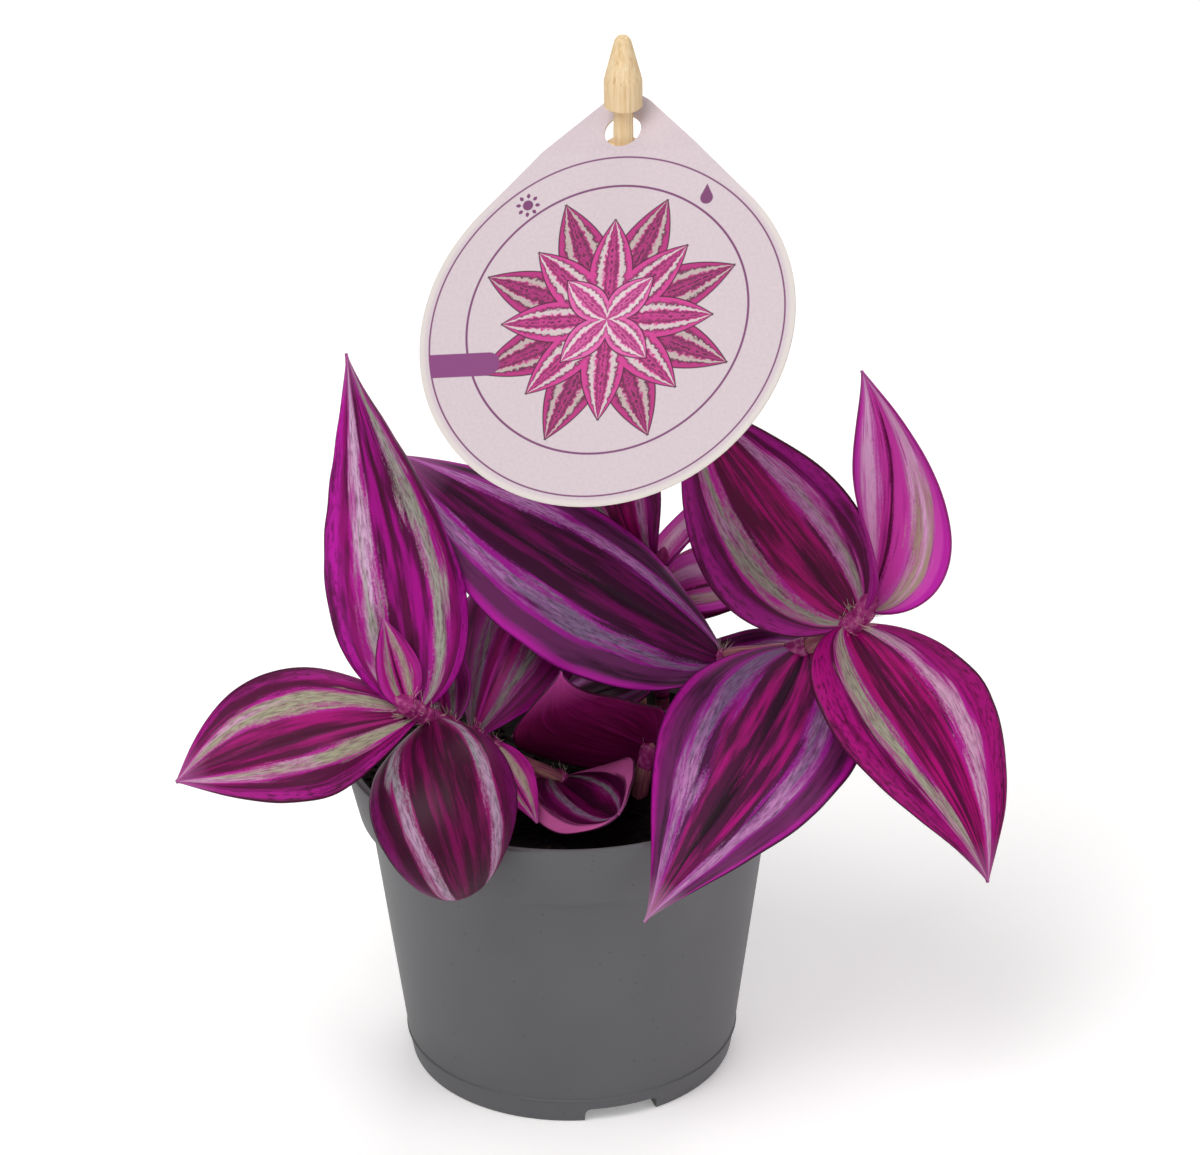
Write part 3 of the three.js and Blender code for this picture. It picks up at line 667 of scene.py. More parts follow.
def cardFront():
    # coated card, offset printed in soft inks: a ring of striped leaves inside thin lines, a plain tab at the
    # left, and a small sun and a drop beside the point
    finish, tree, bsdf = newFinish("offset printed coated card", Roughness=0.5, IOR=1.5,
                                   Specular_IOR_Level=0.3)
    place = addNode(tree, "UVMap", uv_map="print")
    axes = addNode(tree, "SeparateXYZ", [place])
    fibre = addNode(tree, "TexNoise", {"Vector": place, "Scale": 1 / (0.9 * mm), "Detail": 5})
    colour = setStops(addNode(tree, "ValToRGB", [fibre]), [(0.3, "#C9BBC2"), (0.7, "#D1C3CA")])

    # what is printed, from the first ink to the last: its signed distance, its ink and how soft its edge is
    _, _, fromDisc, _ = distanceTo(tree, axes, (0, 0))
    _, _, fromMiddle, angle = distanceTo(tree, axes, printed["middle"])
    line, soft = linearColour(printed["line"]), printed["softness"]
    heart = addNode(tree, "Math", [fromMiddle, printed["heart"]], operation="SUBTRACT")
    shapes = [
        (printedLine(tree, fromDisc, printed["ringRadius"], printed["ringWidth"]), line, soft),
        (printedLine(tree, fromMiddle, printed["innerRing"], printed["innerWidth"]), line, soft),
        (heart, linearColour(printed["heartInk"]), soft),
    ]

    # rings of leaves, with stripes that wander a little
    streak = addNode(tree, "TexNoise", {"Vector": place, "Scale": 1 / (1.1 * mm), "Detail": 4})
    wander = addNode(tree, "Math", [streak, 0.5, -0.25], operation="MULTIPLY_ADD")
    for count, turn, start, end, width, dark, pale, bright in printed["leaves"]:
        outline, across = printedLeaves(tree, fromMiddle, angle, count, turn, start, end, width)
        drifted = addNode(tree, "Math", [across, wander], operation="ADD")
        stripes = setStops(addNode(tree, "ValToRGB", [drifted]), [
            (0.0, dark), (0.06, bright), (0.24, dark), (0.34, bright), (0.42, pale), (0.58, pale),
            (0.66, dark), (0.80, bright), (1.0, bright)])
        around = addNode(tree, "Math", [outline, printed["leafLine"]], operation="SUBTRACT")
        shapes += [(around, linearColour(printed["leafLineInk"]), soft), (outline, stripes, soft)]

    # a sun with its rays, and a drop of water: a round belly and a cone over it
    _, _, fromSun, sunAngle = distanceTo(tree, axes, printed["sun"])
    sun = addNode(tree, "Math", [fromSun, printed["sunRadius"]], operation="SUBTRACT")
    rays, _ = printedLeaves(tree, fromSun, sunAngle, *printed["sunRays"])
    dropX, dropY, fromDrop, _ = distanceTo(tree, axes, printed["drop"])
    belly = addNode(tree, "Math", [fromDrop, printed["dropRadius"]], operation="SUBTRACT")
    sideways = addNode(tree, "Math", [dropX], operation="ABSOLUTE")
    slant = addNode(tree, "Math", [dropY, 0.44, -0.44 * printed["dropTip"]], operation="MULTIPLY_ADD")
    flank = addNode(tree, "Math", [sideways, 0.9, slant], operation="MULTIPLY_ADD")
    under = addNode(tree, "Math", [printed["dropNeck"], dropY], operation="SUBTRACT")
    cone = addNode(tree, "Math", [flank, under], operation="MAXIMUM")
    shapes += [(sun, line, soft), (rays, line, soft / 2), (belly, line, soft), (cone, line, soft)]

    # the tab runs in from the ring at the left and ends round
    tabX, tabY = printed["tab"]
    ahead = addNode(tree, "Math", [axes.outputs["X"], tabX], operation="SUBTRACT")
    past = addNode(tree, "Math", [ahead, 0.0], operation="MAXIMUM")
    level = addNode(tree, "Math", [axes.outputs["Y"], tabY], operation="SUBTRACT")
    corner = addNode(tree, "VectorMath", [addNode(tree, "CombineXYZ", [past, level])], operation="LENGTH")
    body = addNode(tree, "Math", [corner.outputs["Value"], printed["tabHalf"]], operation="SUBTRACT")
    outside = addNode(tree, "Math", [fromDisc, printed["ringRadius"]], operation="SUBTRACT")
    tab = addNode(tree, "Math", [body, outside], operation="MAXIMUM")
    shapes.append((tab, linearColour(printed["tabInk"]), soft))

    for distance, ink, edge in shapes:
        mask = addNode(tree, "MapRange", [distance, -edge, edge, 1.0, 0.0])
        colour = addNode(tree, "Mix", {"Factor": mask, "A": colour, "B": ink}, data_type="RGBA")

    # round the disc, but not on the point, the last millimetre and a half is paler
    edge = printed["borderSoftness"]
    border = addNode(tree, "Math", [printed["border"], fromDisc], operation="SUBTRACT")
    nearEdge = addNode(tree, "MapRange", [border, -edge, edge, 1.0, 0.0])
    onDisc = addNode(tree, "MapRange", [axes.outputs["Y"], 30 * mm, 42 * mm, 1.0, 0.0])
    paler = addNode(tree, "Math", [nearEdge, onDisc], operation="MULTIPLY")
    colour = addNode(tree, "Mix", {"Factor": paler, "A": colour, "B": linearColour(printed["borderInk"])},
                     data_type="RGBA")
    tree.links.new(colour.outputs[2], bsdf.inputs["Base Color"])
    return finish


makeCard()
print("card made")


# in mm, from inside the soil to the growing point, as the CAD model has them
stems = {
    "left": {
        "radius": 2.2,
        "route": [(2, -3, 64), (0, -5, 80), (-5, -8, 86), (-12, -12, 92), (-24, -20.5, 104.5),
                  (-33.5, -31, 115.3), (-37.5, -35, 120), (-42.5, -38.5, 125.5)],
    },
    "right": {
        "radius": 2.3,
        "route": [(19, -6, 64), (19, -8, 82), (22, -7, 93), (29, -4.5, 104), (41, -2, 117), (52, -5, 120.5),
                  (63, -8.5, 124), (72, -11.3, 131), (77, -12, 135.5), (79, -12.5, 140)],
    },
    "back": {
        "radius": 1.9,
        "route": [(26, 22, 64), (25.5, 20, 84), (24.5, 18.5, 106), (24, 18, 122), (24.2, 18.5, 131),
                  (25.2, 19.5, 136)],
    },
}
stemTube = {"samples": 400, "rings": 90, "sides": 20, "narrowing": 0.12, "narrowLength": 12}


def splinePoint(route, share):
    # centripetal Catmull-Rom spline through the route's points
    points = [Vector(point) for point in route]
    place = (len(points) - 1) * share
    index = min(int(place), len(points) - 2)
    t = place - index
    p1, p2 = points[index], points[index + 1]
    p0 = points[index - 1] if index > 0 else p1 * 2 - p2
    p3 = points[index + 2] if index + 2 < len(points) else p2 * 2 - p1
    d0, d1, d2 = (p1 - p0).length ** 0.5, (p2 - p1).length ** 0.5, (p3 - p2).length ** 0.5
    m1 = ((p1 - p0) / d0 - (p2 - p0) / (d0 + d1) + (p2 - p1) / d1) * d1
    m2 = ((p2 - p1) / d1 - (p3 - p1) / (d1 + d2) + (p3 - p2) / d2) * d1
    return (p1 + m1 * t + (p1 * -3 + p2 * 3 - m1 * 2 - m2) * t ** 2 + (p1 * 2 - p2 * 2 + m1 + m2) * t ** 3)


def traceStem(route):
    # points along a stem, and how far along it each one is
    points = [splinePoint(route, i / stemTube["samples"]) for i in range(stemTube["samples"] + 1)]
    reach = [0.0]
    for a, b in zip(points, points[1:]):
        reach.append(reach[-1] + (b - a).length)
    return {"points": points, "reach": reach, "length": reach[-1]}


def stemAt(line, fromTip):
    # the place and the direction at a distance from the growing point, or straight on past it
    points, reach = line["points"], line["reach"]
    wanted = min(max(line["length"] - fromTip, 0), line["length"])
    index = min(max(i for i, far in enumerate(reach) if far <= wanted), len(points) - 2)
    share = (wanted - reach[index]) / (reach[index + 1] - reach[index])
    direction = points[min(index + 3, len(points) - 1)] - points[max(index - 2, 0)]
    direction.normalize()
    return points[index].lerp(points[index + 1], share) + direction * max(-fromTip, 0), direction


stemLines = {name: traceStem(stem["route"]) for name, stem in stems.items()}


def wrapTube(bm, line, stations, radii, sides):
    # a grid rolled up round a stem's line: stations are distances from its tip, each with its radius, in mm
    made = bmesh.ops.create_grid(bm, x_segments=sides, y_segments=len(stations) - 1, size=0.5)["verts"]
    layer = bm.loops.layers.uv["vein"]
    side = Vector((0, 0, 1))
    frames = []
    for station in stations:
        point, direction = stemAt(line, station)
        side = side - direction * side.dot(direction)
        side = side.normalized() if side.length > 0.1 else direction.orthogonal().normalized()
        frames.append((point, side, direction.cross(side)))
    places = {}
    for vertex in made:
        turn = (vertex.co.x + 0.5) * 2 * math.pi
        row = round((vertex.co.y + 0.5) * (len(stations) - 1))
        point, first, second = frames[row]
        places[vertex] = (turn * radii[row], stations[row])
        vertex.co = (point + (first * math.cos(turn) + second * math.sin(turn)) * radii[row]) * mm
    for face in {face for vertex in made for face in vertex.link_faces}:
        for loop in face.loops:
            across, along = places[loop.vert]
            loop[layer].uv = (along * mm, across * mm)
    bmesh.ops.remove_doubles(bm, verts=made, dist=1e-7)


def stemSkin():
    # living stem, fleshy: pale pink-brown with darker lengthwise streaks, a satin skin
    finish, tree, bsdf = newFinish("fleshy stem skin", Roughness=0.45, IOR=1.45, Specular_IOR_Level=0.35)
    place = addNode(tree, "UVMap", uv_map="vein")
    along = addNode(tree, "Mapping", {"Vector": place, "Scale": (1 / (9 * mm), 1 / (0.8 * mm), 1)})
    streak = addNode(tree, "TexNoise", {"Vector": along, "Scale": 1.0, "Detail": 4})
    tint = setStops(addNode(tree, "ValToRGB", [streak]),
                    [(0.3, "#6E2450"), (0.5, "#9C5A6C"), (0.7, "#B08A74")])
    tree.links.new(tint.outputs[0], bsdf.inputs["Base Color"])
    bump = addNode(tree, "Bump", {"Strength": 0.4, "Distance": 0.15 * mm, "Height": streak})
    tree.links.new(bump.outputs[0], bsdf.inputs["Normal"])
    return finish


def makeStem(name, skin):
    line, radius = stemLines[name], stems[name]["radius"]
    rings = stemTube["rings"]
    stations = [line["length"] * (1 - i / rings) for i in range(rings + 1)]
    radii = [radius * (1 - stemTube["narrowing"] * smoothStep(stemTube["narrowLength"], 0, station))
             for station in stations]
    radii[-2:] = [radius * 0.75, radius * 0.3]      # a blunt tip
    bm = bmesh.new()
    bm.loops.layers.uv.new("vein")
    wrapTube(bm, line, stations, radii, stemTube["sides"])
    bmesh.ops.holes_fill(bm, edges=[edge for edge in bm.edges if edge.is_boundary])
    bmesh.ops.recalc_face_normals(bm, faces=bm.faces)
    makePiece(bm, f"stem-{name}", [skin], [f"stem_{name}"])


# Angles are in degrees and sizes in mm, as the CAD model has them. fromTip is the distance down the stem.
# heading, rise and roll aim a leaf, bend and bendTip droop it, swing turns it and twist rolls it over its
# length. fold, cup and the curls shape its cross-section, and full and taper its outline. The first leaf of
# each stem closes over the growing tip.
leafDefault = {
    "bend": 0, "bendTip": 0, "swing": 0, "twist": 0,
    "fold": 14, "cup": -10, "curlLeft": 0, "curlRight": 0, "full": 0.62, "taper": 1.1,
    "look": "fresh", "under": "rose",
}
leaves = {
    "left": {
        "young": dict(fromTip=1.6, heading=150, rise=70, roll=30, length=26, width=13, bend=-20, fold=30,
                      cup=-20, look="young"),
        "upright": dict(fromTip=5, heading=97, rise=76, roll=2, length=99, width=40, bend=8, bendTip=-26,
                        swing=21, twist=-45, fold=9, cup=-41, curlLeft=-11, curlRight=-34, full=0.6,
                        taper=1.26, look="fresh"),
        "level": dict(fromTip=8.4, heading=193, rise=0, roll=24, length=67, width=43, bend=10, bendTip=4,
                      swing=12, cup=-11, full=1.12, look="level"),
        "hanging": dict(fromTip=12.5, heading=-95, rise=18, roll=-19, length=77, width=42, bend=110,
                        bendTip=95, swing=20, twist=22, fold=0, cup=-41, curlLeft=-11, full=0.64,
                        taper=0.82, look="hanging"),
        "shaded": dict(fromTip=20, heading=104, rise=43, roll=8, length=36, width=17, bend=20, fold=17,
                       look="inner"),
        "inner": dict(fromTip=32, heading=56, rise=59, roll=3, length=63, width=43, bend=47, bendTip=35,
                      swing=8, twist=-23, fold=-10, cup=-37, full=0.85, taper=0.6, look="inner"),
        "small": dict(fromTip=39, heading=-59, rise=-18, roll=0, length=27, width=13, bend=17, fold=20,
                      look="young"),
        "low": dict(fromTip=66, heading=-66, rise=11, roll=8, length=47, width=34, bend=7, bendTip=-40,
                    twist=-47, fold=21, cup=-12, curlLeft=45, curlRight=-7, full=0.5, taper=0.98,
                    look="curled"),
    },
    "right": {
        "upright": dict(fromTip=3.4, heading=50, rise=49, roll=-62, length=66, width=50, bend=-10,
                        bendTip=-13, swing=56, twist=46, fold=49, cup=38, curlLeft=10, curlRight=6,
                        full=0.57, taper=1.16, look="upright"),
        "back": dict(fromTip=6.8, heading=150, rise=39, roll=63, length=72, width=48, bendTip=-10,
                     swing=-14, twist=11, fold=18, cup=5, curlRight=15, taper=0.98, look="back"),
        "outer": dict(fromTip=10.2, heading=-53, rise=-28, roll=16, length=79, width=60, bend=8, bendTip=35,
                      swing=6, twist=-5, fold=8, cup=-6, curlRight=-26, full=0.58, taper=1.16,
                      look="outer"),
        "front": dict(fromTip=24, heading=-113, rise=-22, roll=3, length=92, width=54, bend=9, bendTip=7,
                      swing=-16, fold=9, cup=-15, full=0.63, taper=1.3, look="front"),
        "great": dict(fromTip=47.4, heading=203, rise=39, roll=46, length=104, width=49, bend=39,
                      bendTip=-8, swing=-28, twist=8, fold=7, cup=-45, curlLeft=-6, curlRight=11, full=0.71,
                      taper=0.89, look="great"),
        "hidden": dict(fromTip=58, heading=25, rise=8, roll=0, length=62, width=34, bend=35, look="front"),
        # this leaf lies in deep shade: its skin and underside are darker copies, painted shade
        "low": dict(fromTip=78.5, heading=174, rise=26, roll=-58, length=53, width=46, bend=70, bendTip=-65,
                    swing=85, twist=-21, fold=6, cup=-26, curlRight=35, full=0.52, taper=1.29,
                    look="hanging", under="paintedShade"),
    },
    "back": {
        "narrow": dict(fromTip=5, heading=39, rise=34, roll=26, length=38, width=22, bendTip=-28, fold=27,
                       full=0.6, look="upright"),
        "upright": dict(fromTip=8.6, heading=159, rise=57, roll=46, length=51, width=25, bend=-39,
                        bendTip=4, swing=-21, twist=18, fold=18, cup=-6, curlRight=14, full=1.15, taper=0.6,
                        look="back"),
        "right": dict(fromTip=12.2, heading=9, rise=19, roll=-8, length=37, width=27, bend=38, bendTip=12,
                      fold=15, look="upright"),
        "rear": dict(fromTip=20, heading=42, rise=19, roll=0, length=61, width=34, bend=41, full=0.85,
                     look="outer"),
        "left": dict(fromTip=36, heading=203, rise=2, roll=10, length=44, width=22, bend=30, full=0.9,
                     look="great"),
    },
}
blade = {
    "rows": 90, "columns": 48, "stalk": 2.2, "tipWidth": 0.25, "thickness": 0.62,
    "wave": 1.36, "waveLength": 11.5,               # how much the blade undulates, and over what length
    "ridge": 0.10, "ridges": 2.5,                   # the ripple of the veins, and how many to each half
    "groove": 0.35, "grooveWidth": 0.05,            # the midrib's depth, and its share of the half width
}
sheath = {"clearance": 0.12, "wall": 0.75, "above": 1.0, "below": 5.5, "sides": 28}
hairs = {"count": 34, "length": (1.4, 3.8), "radius": 0.07, "out": 0.7, "below": 1.2, "lean": (0.2, 1.6),
         "seed": 11}


def halfWidth(leaf, u):
    # u runs from 0 at the blade's base to 1 at its tip
    inside = min(max(u, 1e-6), 1 - 1e-6)
    widest = leaf["full"] / (leaf["full"] + leaf["taper"])
    shape = [at ** leaf["full"] * (1 - at) ** leaf["taper"] for at in (inside, widest)]
    return math.hypot(leaf["width"] / 2 * shape[0] / shape[1], blade["stalk"] * (1 - u) ** 8)


def halfSection(leaf, u, width, curl, count):
    # distance to the side and height of each column, from the midrib out
    section, out, rise = [(0.0, 0.0)], 0.0, 0.0
    for step in range(count):
        v = (step + 0.5) / count
        curled = curl * max(0, (v - 0.5) / 0.5) ** 1.5 * 4 * u * (1 - u)
        slope = math.radians(leaf["fold"] * (1 - 0.4 * u) + leaf["cup"] * v + curled)
        out += math.cos(slope) * width / count
        rise += math.sin(slope) * width / count
        section.append((out, rise))
    return section


def turned(vector, axis, degrees):
    return Matrix.Rotation(math.radians(degrees), 3, axis) @ vector


def traceBlade(leaf, start):
    # rows of points from the left margin to the right one, carried along the midrib
    heading, rise = math.radians(leaf["heading"]), math.radians(leaf["rise"])
    flat = Vector((math.cos(heading), math.sin(heading), 0))
    along = flat * math.cos(rise) + Vector((0, 0, math.sin(rise)))
    up = turned(Vector((0, 0, math.cos(rise))) - flat * math.sin(rise), along, -leaf["roll"])
    half, steps = blade["columns"] // 2, blade["rows"]
    point, rows = start.copy(), []
    for step in range(steps + 1):
        u = step / steps
        left = up.cross(along)
        width = max(halfWidth(leaf, u), blade["tipWidth"])
        row = {}
        for side, curl in ((1, leaf["curlLeft"]), (-1, leaf["curlRight"])):
            for column, (out, height) in enumerate(halfSection(leaf, u, width, curl, half)):
                row[side * column] = point + left * side * out + up * height
        rows.append((row, up.copy()))
        point = point + along * (leaf["length"] / steps)
        bend = (leaf["bend"] + 3 * leaf["bendTip"] * (u + 0.5 / steps) ** 2) / steps
        along, up = turned(along, left, bend), turned(up, left, bend)
        along = turned(along, up, leaf["swing"] / steps)
        up = turned(up, along, -leaf["twist"] / steps)
        up = (up - along * up.dot(along)).normalized()
    return rows


def addBlade(bm, leaf, rows):
    columns, count = blade["columns"], blade["rows"]
    made = bmesh.ops.create_grid(bm, x_segments=count, y_segments=columns, size=0.5)["verts"]
    share, vein = bm.loops.layers.uv["blade"], bm.loops.layers.uv["vein"]
    own = leaf["fromTip"] * 97 + leaf["length"] * 13      # gives each leaf its own stretch of the pattern
    places = {}
    for vertex in made:
        row = round((vertex.co.x + 0.5) * count)
        column = round((vertex.co.y + 0.5) * columns) - columns // 2
        points, up = rows[row]
        u, v = row / count, column / (columns // 2)
        # the midrib is a groove, and parallel veins ripple the blade
        groove = -blade["groove"] * math.exp(-(v / blade["grooveWidth"]) ** 2) * (1 - u) ** 0.5
        beat = Vector((u * leaf["length"] / blade["waveLength"], own + math.copysign(3, v), 0))
        wave = blade["wave"] * noise.noise(beat) * v * v * math.sin(math.pi * u)
        ripple = blade["ridge"] * math.cos(v * blade["ridges"] * 2 * math.pi) * math.sin(math.pi * u) ** 0.5
        places[vertex] = (u, v)
        vertex.co = (points[column] + up * (groove + ripple + wave)) * mm
    for face in {face for vertex in made for face in vertex.link_faces}:
        for loop in face.loops:
            u, v = places[loop.vert]
            loop[share].uv = (u, 0.5 + v / 2)
            loop[vein].uv = ((u * leaf["length"] + own) * mm, (v * leaf["width"] / 2 + own) * mm)


def veinStreaks(tree, vein, length, width, detail, place=0.0):
    # noise drawn out along the veins; length and width are the size of its streaks
    mapped = addNode(tree, "Mapping", {"Vector": vein, "Location": (place, place * 1.7, 0),
                                       "Scale": (1 / length, 1 / width, 1)})
    return addNode(tree, "TexNoise", {"Vector": mapped, "Scale": 1.0, "Detail": detail, "Roughness": 0.55})


undersides = {
    "rose": ("#8C0E70", "#A81C90", "#BA48A6"),
    # the second underside is a darker, redder copy of the first: painted shade for a leaf that lies in deep
    # shade
    "paintedShade": ("#5A0436", "#7C0854", "#A02478"),      # of a leaf in deep shade: redder and darker
}


def bladeUnderside(name):
    # leaf skin over clear cells: one plain colour underneath, with fine pale lines along the veins
    finish, tree, bsdf = newFinish(f"{name} leaf underside", Roughness=0.45, IOR=1.45,
                                   Specular_IOR_Level=0.25)
    vein = addNode(tree, "UVMap", uv_map="vein")
    streak = veinStreaks(tree, vein, 25 * mm, 0.9 * mm, 3)
    tint = setStops(addNode(tree, "ValToRGB", [streak]), list(zip((0.3, 0.55, 0.75), undersides[name])))
    axes = addNode(tree, "SeparateXYZ", [addNode(tree, "UVMap", uv_map="blade")])
    # towards the tip the underside turns pink: painted glow of light shining through the thin tip
    tip = addNode(tree, "MapRange", [axes.outputs["X"], 0.66, 1.0, 0.0, 0.85])
    colour = addNode(tree, "Mix", {"Factor": tip, "A": tint, "B": linearColour("#C2489C")},
                     data_type="RGBA")
    tree.links.new(colour.outputs[2], bsdf.inputs["Base Color"])
    bump = addNode(tree, "Bump", {"Strength": 0.35, "Distance": 0.12 * mm, "Height": streak})
    tree.links.new(bump.outputs[0], bsdf.inputs["Normal"])
    return finish


# From midrib to margin: inner is the zone beside the midrib, with plum streaks over innerPlum of it, then
# comes the silvery band, its middle and half width, with a rim on both sides, then the outer zone and the
# margin. tone is how pink the silver is to the left and to the right, speckle how much dark shows in it, and
# mottle how much the margin has, from 0 to 1. Places are shares of the half width.
lookDefault = {
    "midrib": "#5C0640", "inner": "#A0086E", "plum": "#42042A", "innerPlum": 0.5, "rim": "#A81C88",
    "band": (0.47, 0.14), "silver": "#9C9C8C", "pink": "#BC8CB4", "tone": (0.45, 0.35), "speckle": 0.6,
    "outer": "#8A0668", "outerPlum": 0.5, "margin": "#A41090", "marginFrom": 0.78, "mottle": 0.4,
    "tip": "#B464A4",
}
looks = {
    "fresh": {"inner": "#A00884", "innerPlum": 0.55, "rim": "#A41888", "band": (0.46, 0.15),
              "tone": (0.6, 0.15), "margin": "#AE1296", "silver": "#A0A496", "pink": "#D0A8CA",
              "mottle": 0.55, "speckle": 0.7},
    "level": {"inner": "#9C066C", "innerPlum": 0.55, "band": (0.46, 0.14), "silver": "#A0A286",
              "pink": "#C89CB8", "tone": (0.35, 0.2), "outer": "#8C0A66", "outerPlum": 0.6,
              "margin": "#A01480", "marginFrom": 0.8, "mottle": 0.75, "speckle": 0.7},
    # a darker copy of the striped skin for the hanging leaves, which lie in shade: the stripes are their own,
    # their darkness is painted shade
    "hanging": {"midrib": "#4A0430", "inner": "#6C0448", "plum": "#2C041C", "innerPlum": 0.66,
                "rim": "#84105E", "band": (0.55, 0.10), "silver": "#8C8890", "pink": "#B08EAC",
                "tone": (0.7, 0.4), "speckle": 0.7, "outer": "#56083C", "outerPlum": 0.5,
                "margin": "#6A0A54", "marginFrom": 0.84, "mottle": 0.5, "tip": "#8A3A7C"},
    # a darker copy of the striped skin for the low curled leaf, which lies in shade: the stripes are its own,
    # the darkness of its inner zones, band and outer zone is painted shade
    "curled": {"midrib": "#4A0430", "inner": "#5C0440", "plum": "#22041A", "innerPlum": 0.66,
               "rim": "#6A0C50", "band": (0.36, 0.08), "silver": "#6C6A70", "pink": "#806484",
               "tone": (0.4, 0.4), "speckle": 0.8, "outer": "#4A0636", "outerPlum": 0.5,
               "margin": "#BE5898", "marginFrom": 0.66, "mottle": 0.05, "tip": "#B45A9C"},
    # for the inner leaves, which lie in the great leaf's shade: the stripes are their own, the dark grey
    # silver and the darker outer zone are painted shade
    "inner": {"midrib": "#A02484", "inner": "#86085E", "plum": "#3A0626", "innerPlum": 0.5,
              "rim": "#7E1468", "band": (0.36, 0.13), "silver": "#6C6A66", "pink": "#865A8C",
              "tone": (0.4, 0.3), "speckle": 0.85, "outer": "#700A58", "outerPlum": 0.4,
              "margin": "#90107E", "marginFrom": 0.92, "mottle": 0.1},
    "upright": {"inner": "#CC44AC", "plum": "#84186A", "innerPlum": 0.2, "rim": "#C858B4",
                "band": (0.46, 0.20), "silver": "#ACA486", "pink": "#E2B8DA", "tone": (0.95, 0.5),
                "speckle": 0.3, "outer": "#D04CB8", "outerPlum": 0.05, "margin": "#C42CB0",
                "marginFrom": 0.82, "mottle": 0.1},
    "back": {"inner": "#A00668", "plum": "#42042A", "innerPlum": 0.6, "band": (0.50, 0.12),
             "silver": "#8E9080", "pink": "#B47CAA", "tone": (0.25, 0.7), "outer": "#820A6C",
             "outerPlum": 0.58, "margin": "#98147E", "marginFrom": 0.80, "mottle": 0.6, "speckle": 0.7},
    "outer": {"inner": "#AC0670", "plum": "#44042C", "innerPlum": 0.56, "band": (0.47, 0.13),
              "silver": "#A2A48E", "pink": "#D0A0C0", "tone": (0.95, 0.05), "outer": "#A60A7A",
              "outerPlum": 0.35, "margin": "#A20C74", "marginFrom": 0.72, "mottle": 0.75, "speckle": 0.65},
    "front": {"midrib": "#1E0616", "inner": "#A00870", "plum": "#2E0A28", "innerPlum": 0.66,
              "rim": "#8E1484", "band": (0.52, 0.11), "silver": "#745C80", "pink": "#B87CB2",
              "tone": (0.55, 0.45), "speckle": 0.75, "outer": "#641A56", "outerPlum": 0.4,
              "margin": "#A01088", "marginFrom": 0.89, "mottle": 0.25, "tip": "#C89CBC"},
    "great": {"midrib": "#14060F", "inner": "#6E0A56", "plum": "#2E0A26", "innerPlum": 0.68,
              "rim": "#941688", "band": (0.50, 0.10), "silver": "#7A6284", "pink": "#B878B8",
              "tone": (0.3, 0.8), "speckle": 0.75, "outer": "#5E2254", "outerPlum": 0.3,
              "margin": "#A81A94", "marginFrom": 0.89, "mottle": 0.05},
    "young": {"inner": "#A8187C", "plum": "#6E0C50", "innerPlum": 0.2, "band": (0.36, 0.2),
              "silver": "#A09A84", "pink": "#C48CB0", "tone": (0.3, 0.3), "outer": "#A81680",
              "outerPlum": 0.1, "margin": "#B02090"},
}


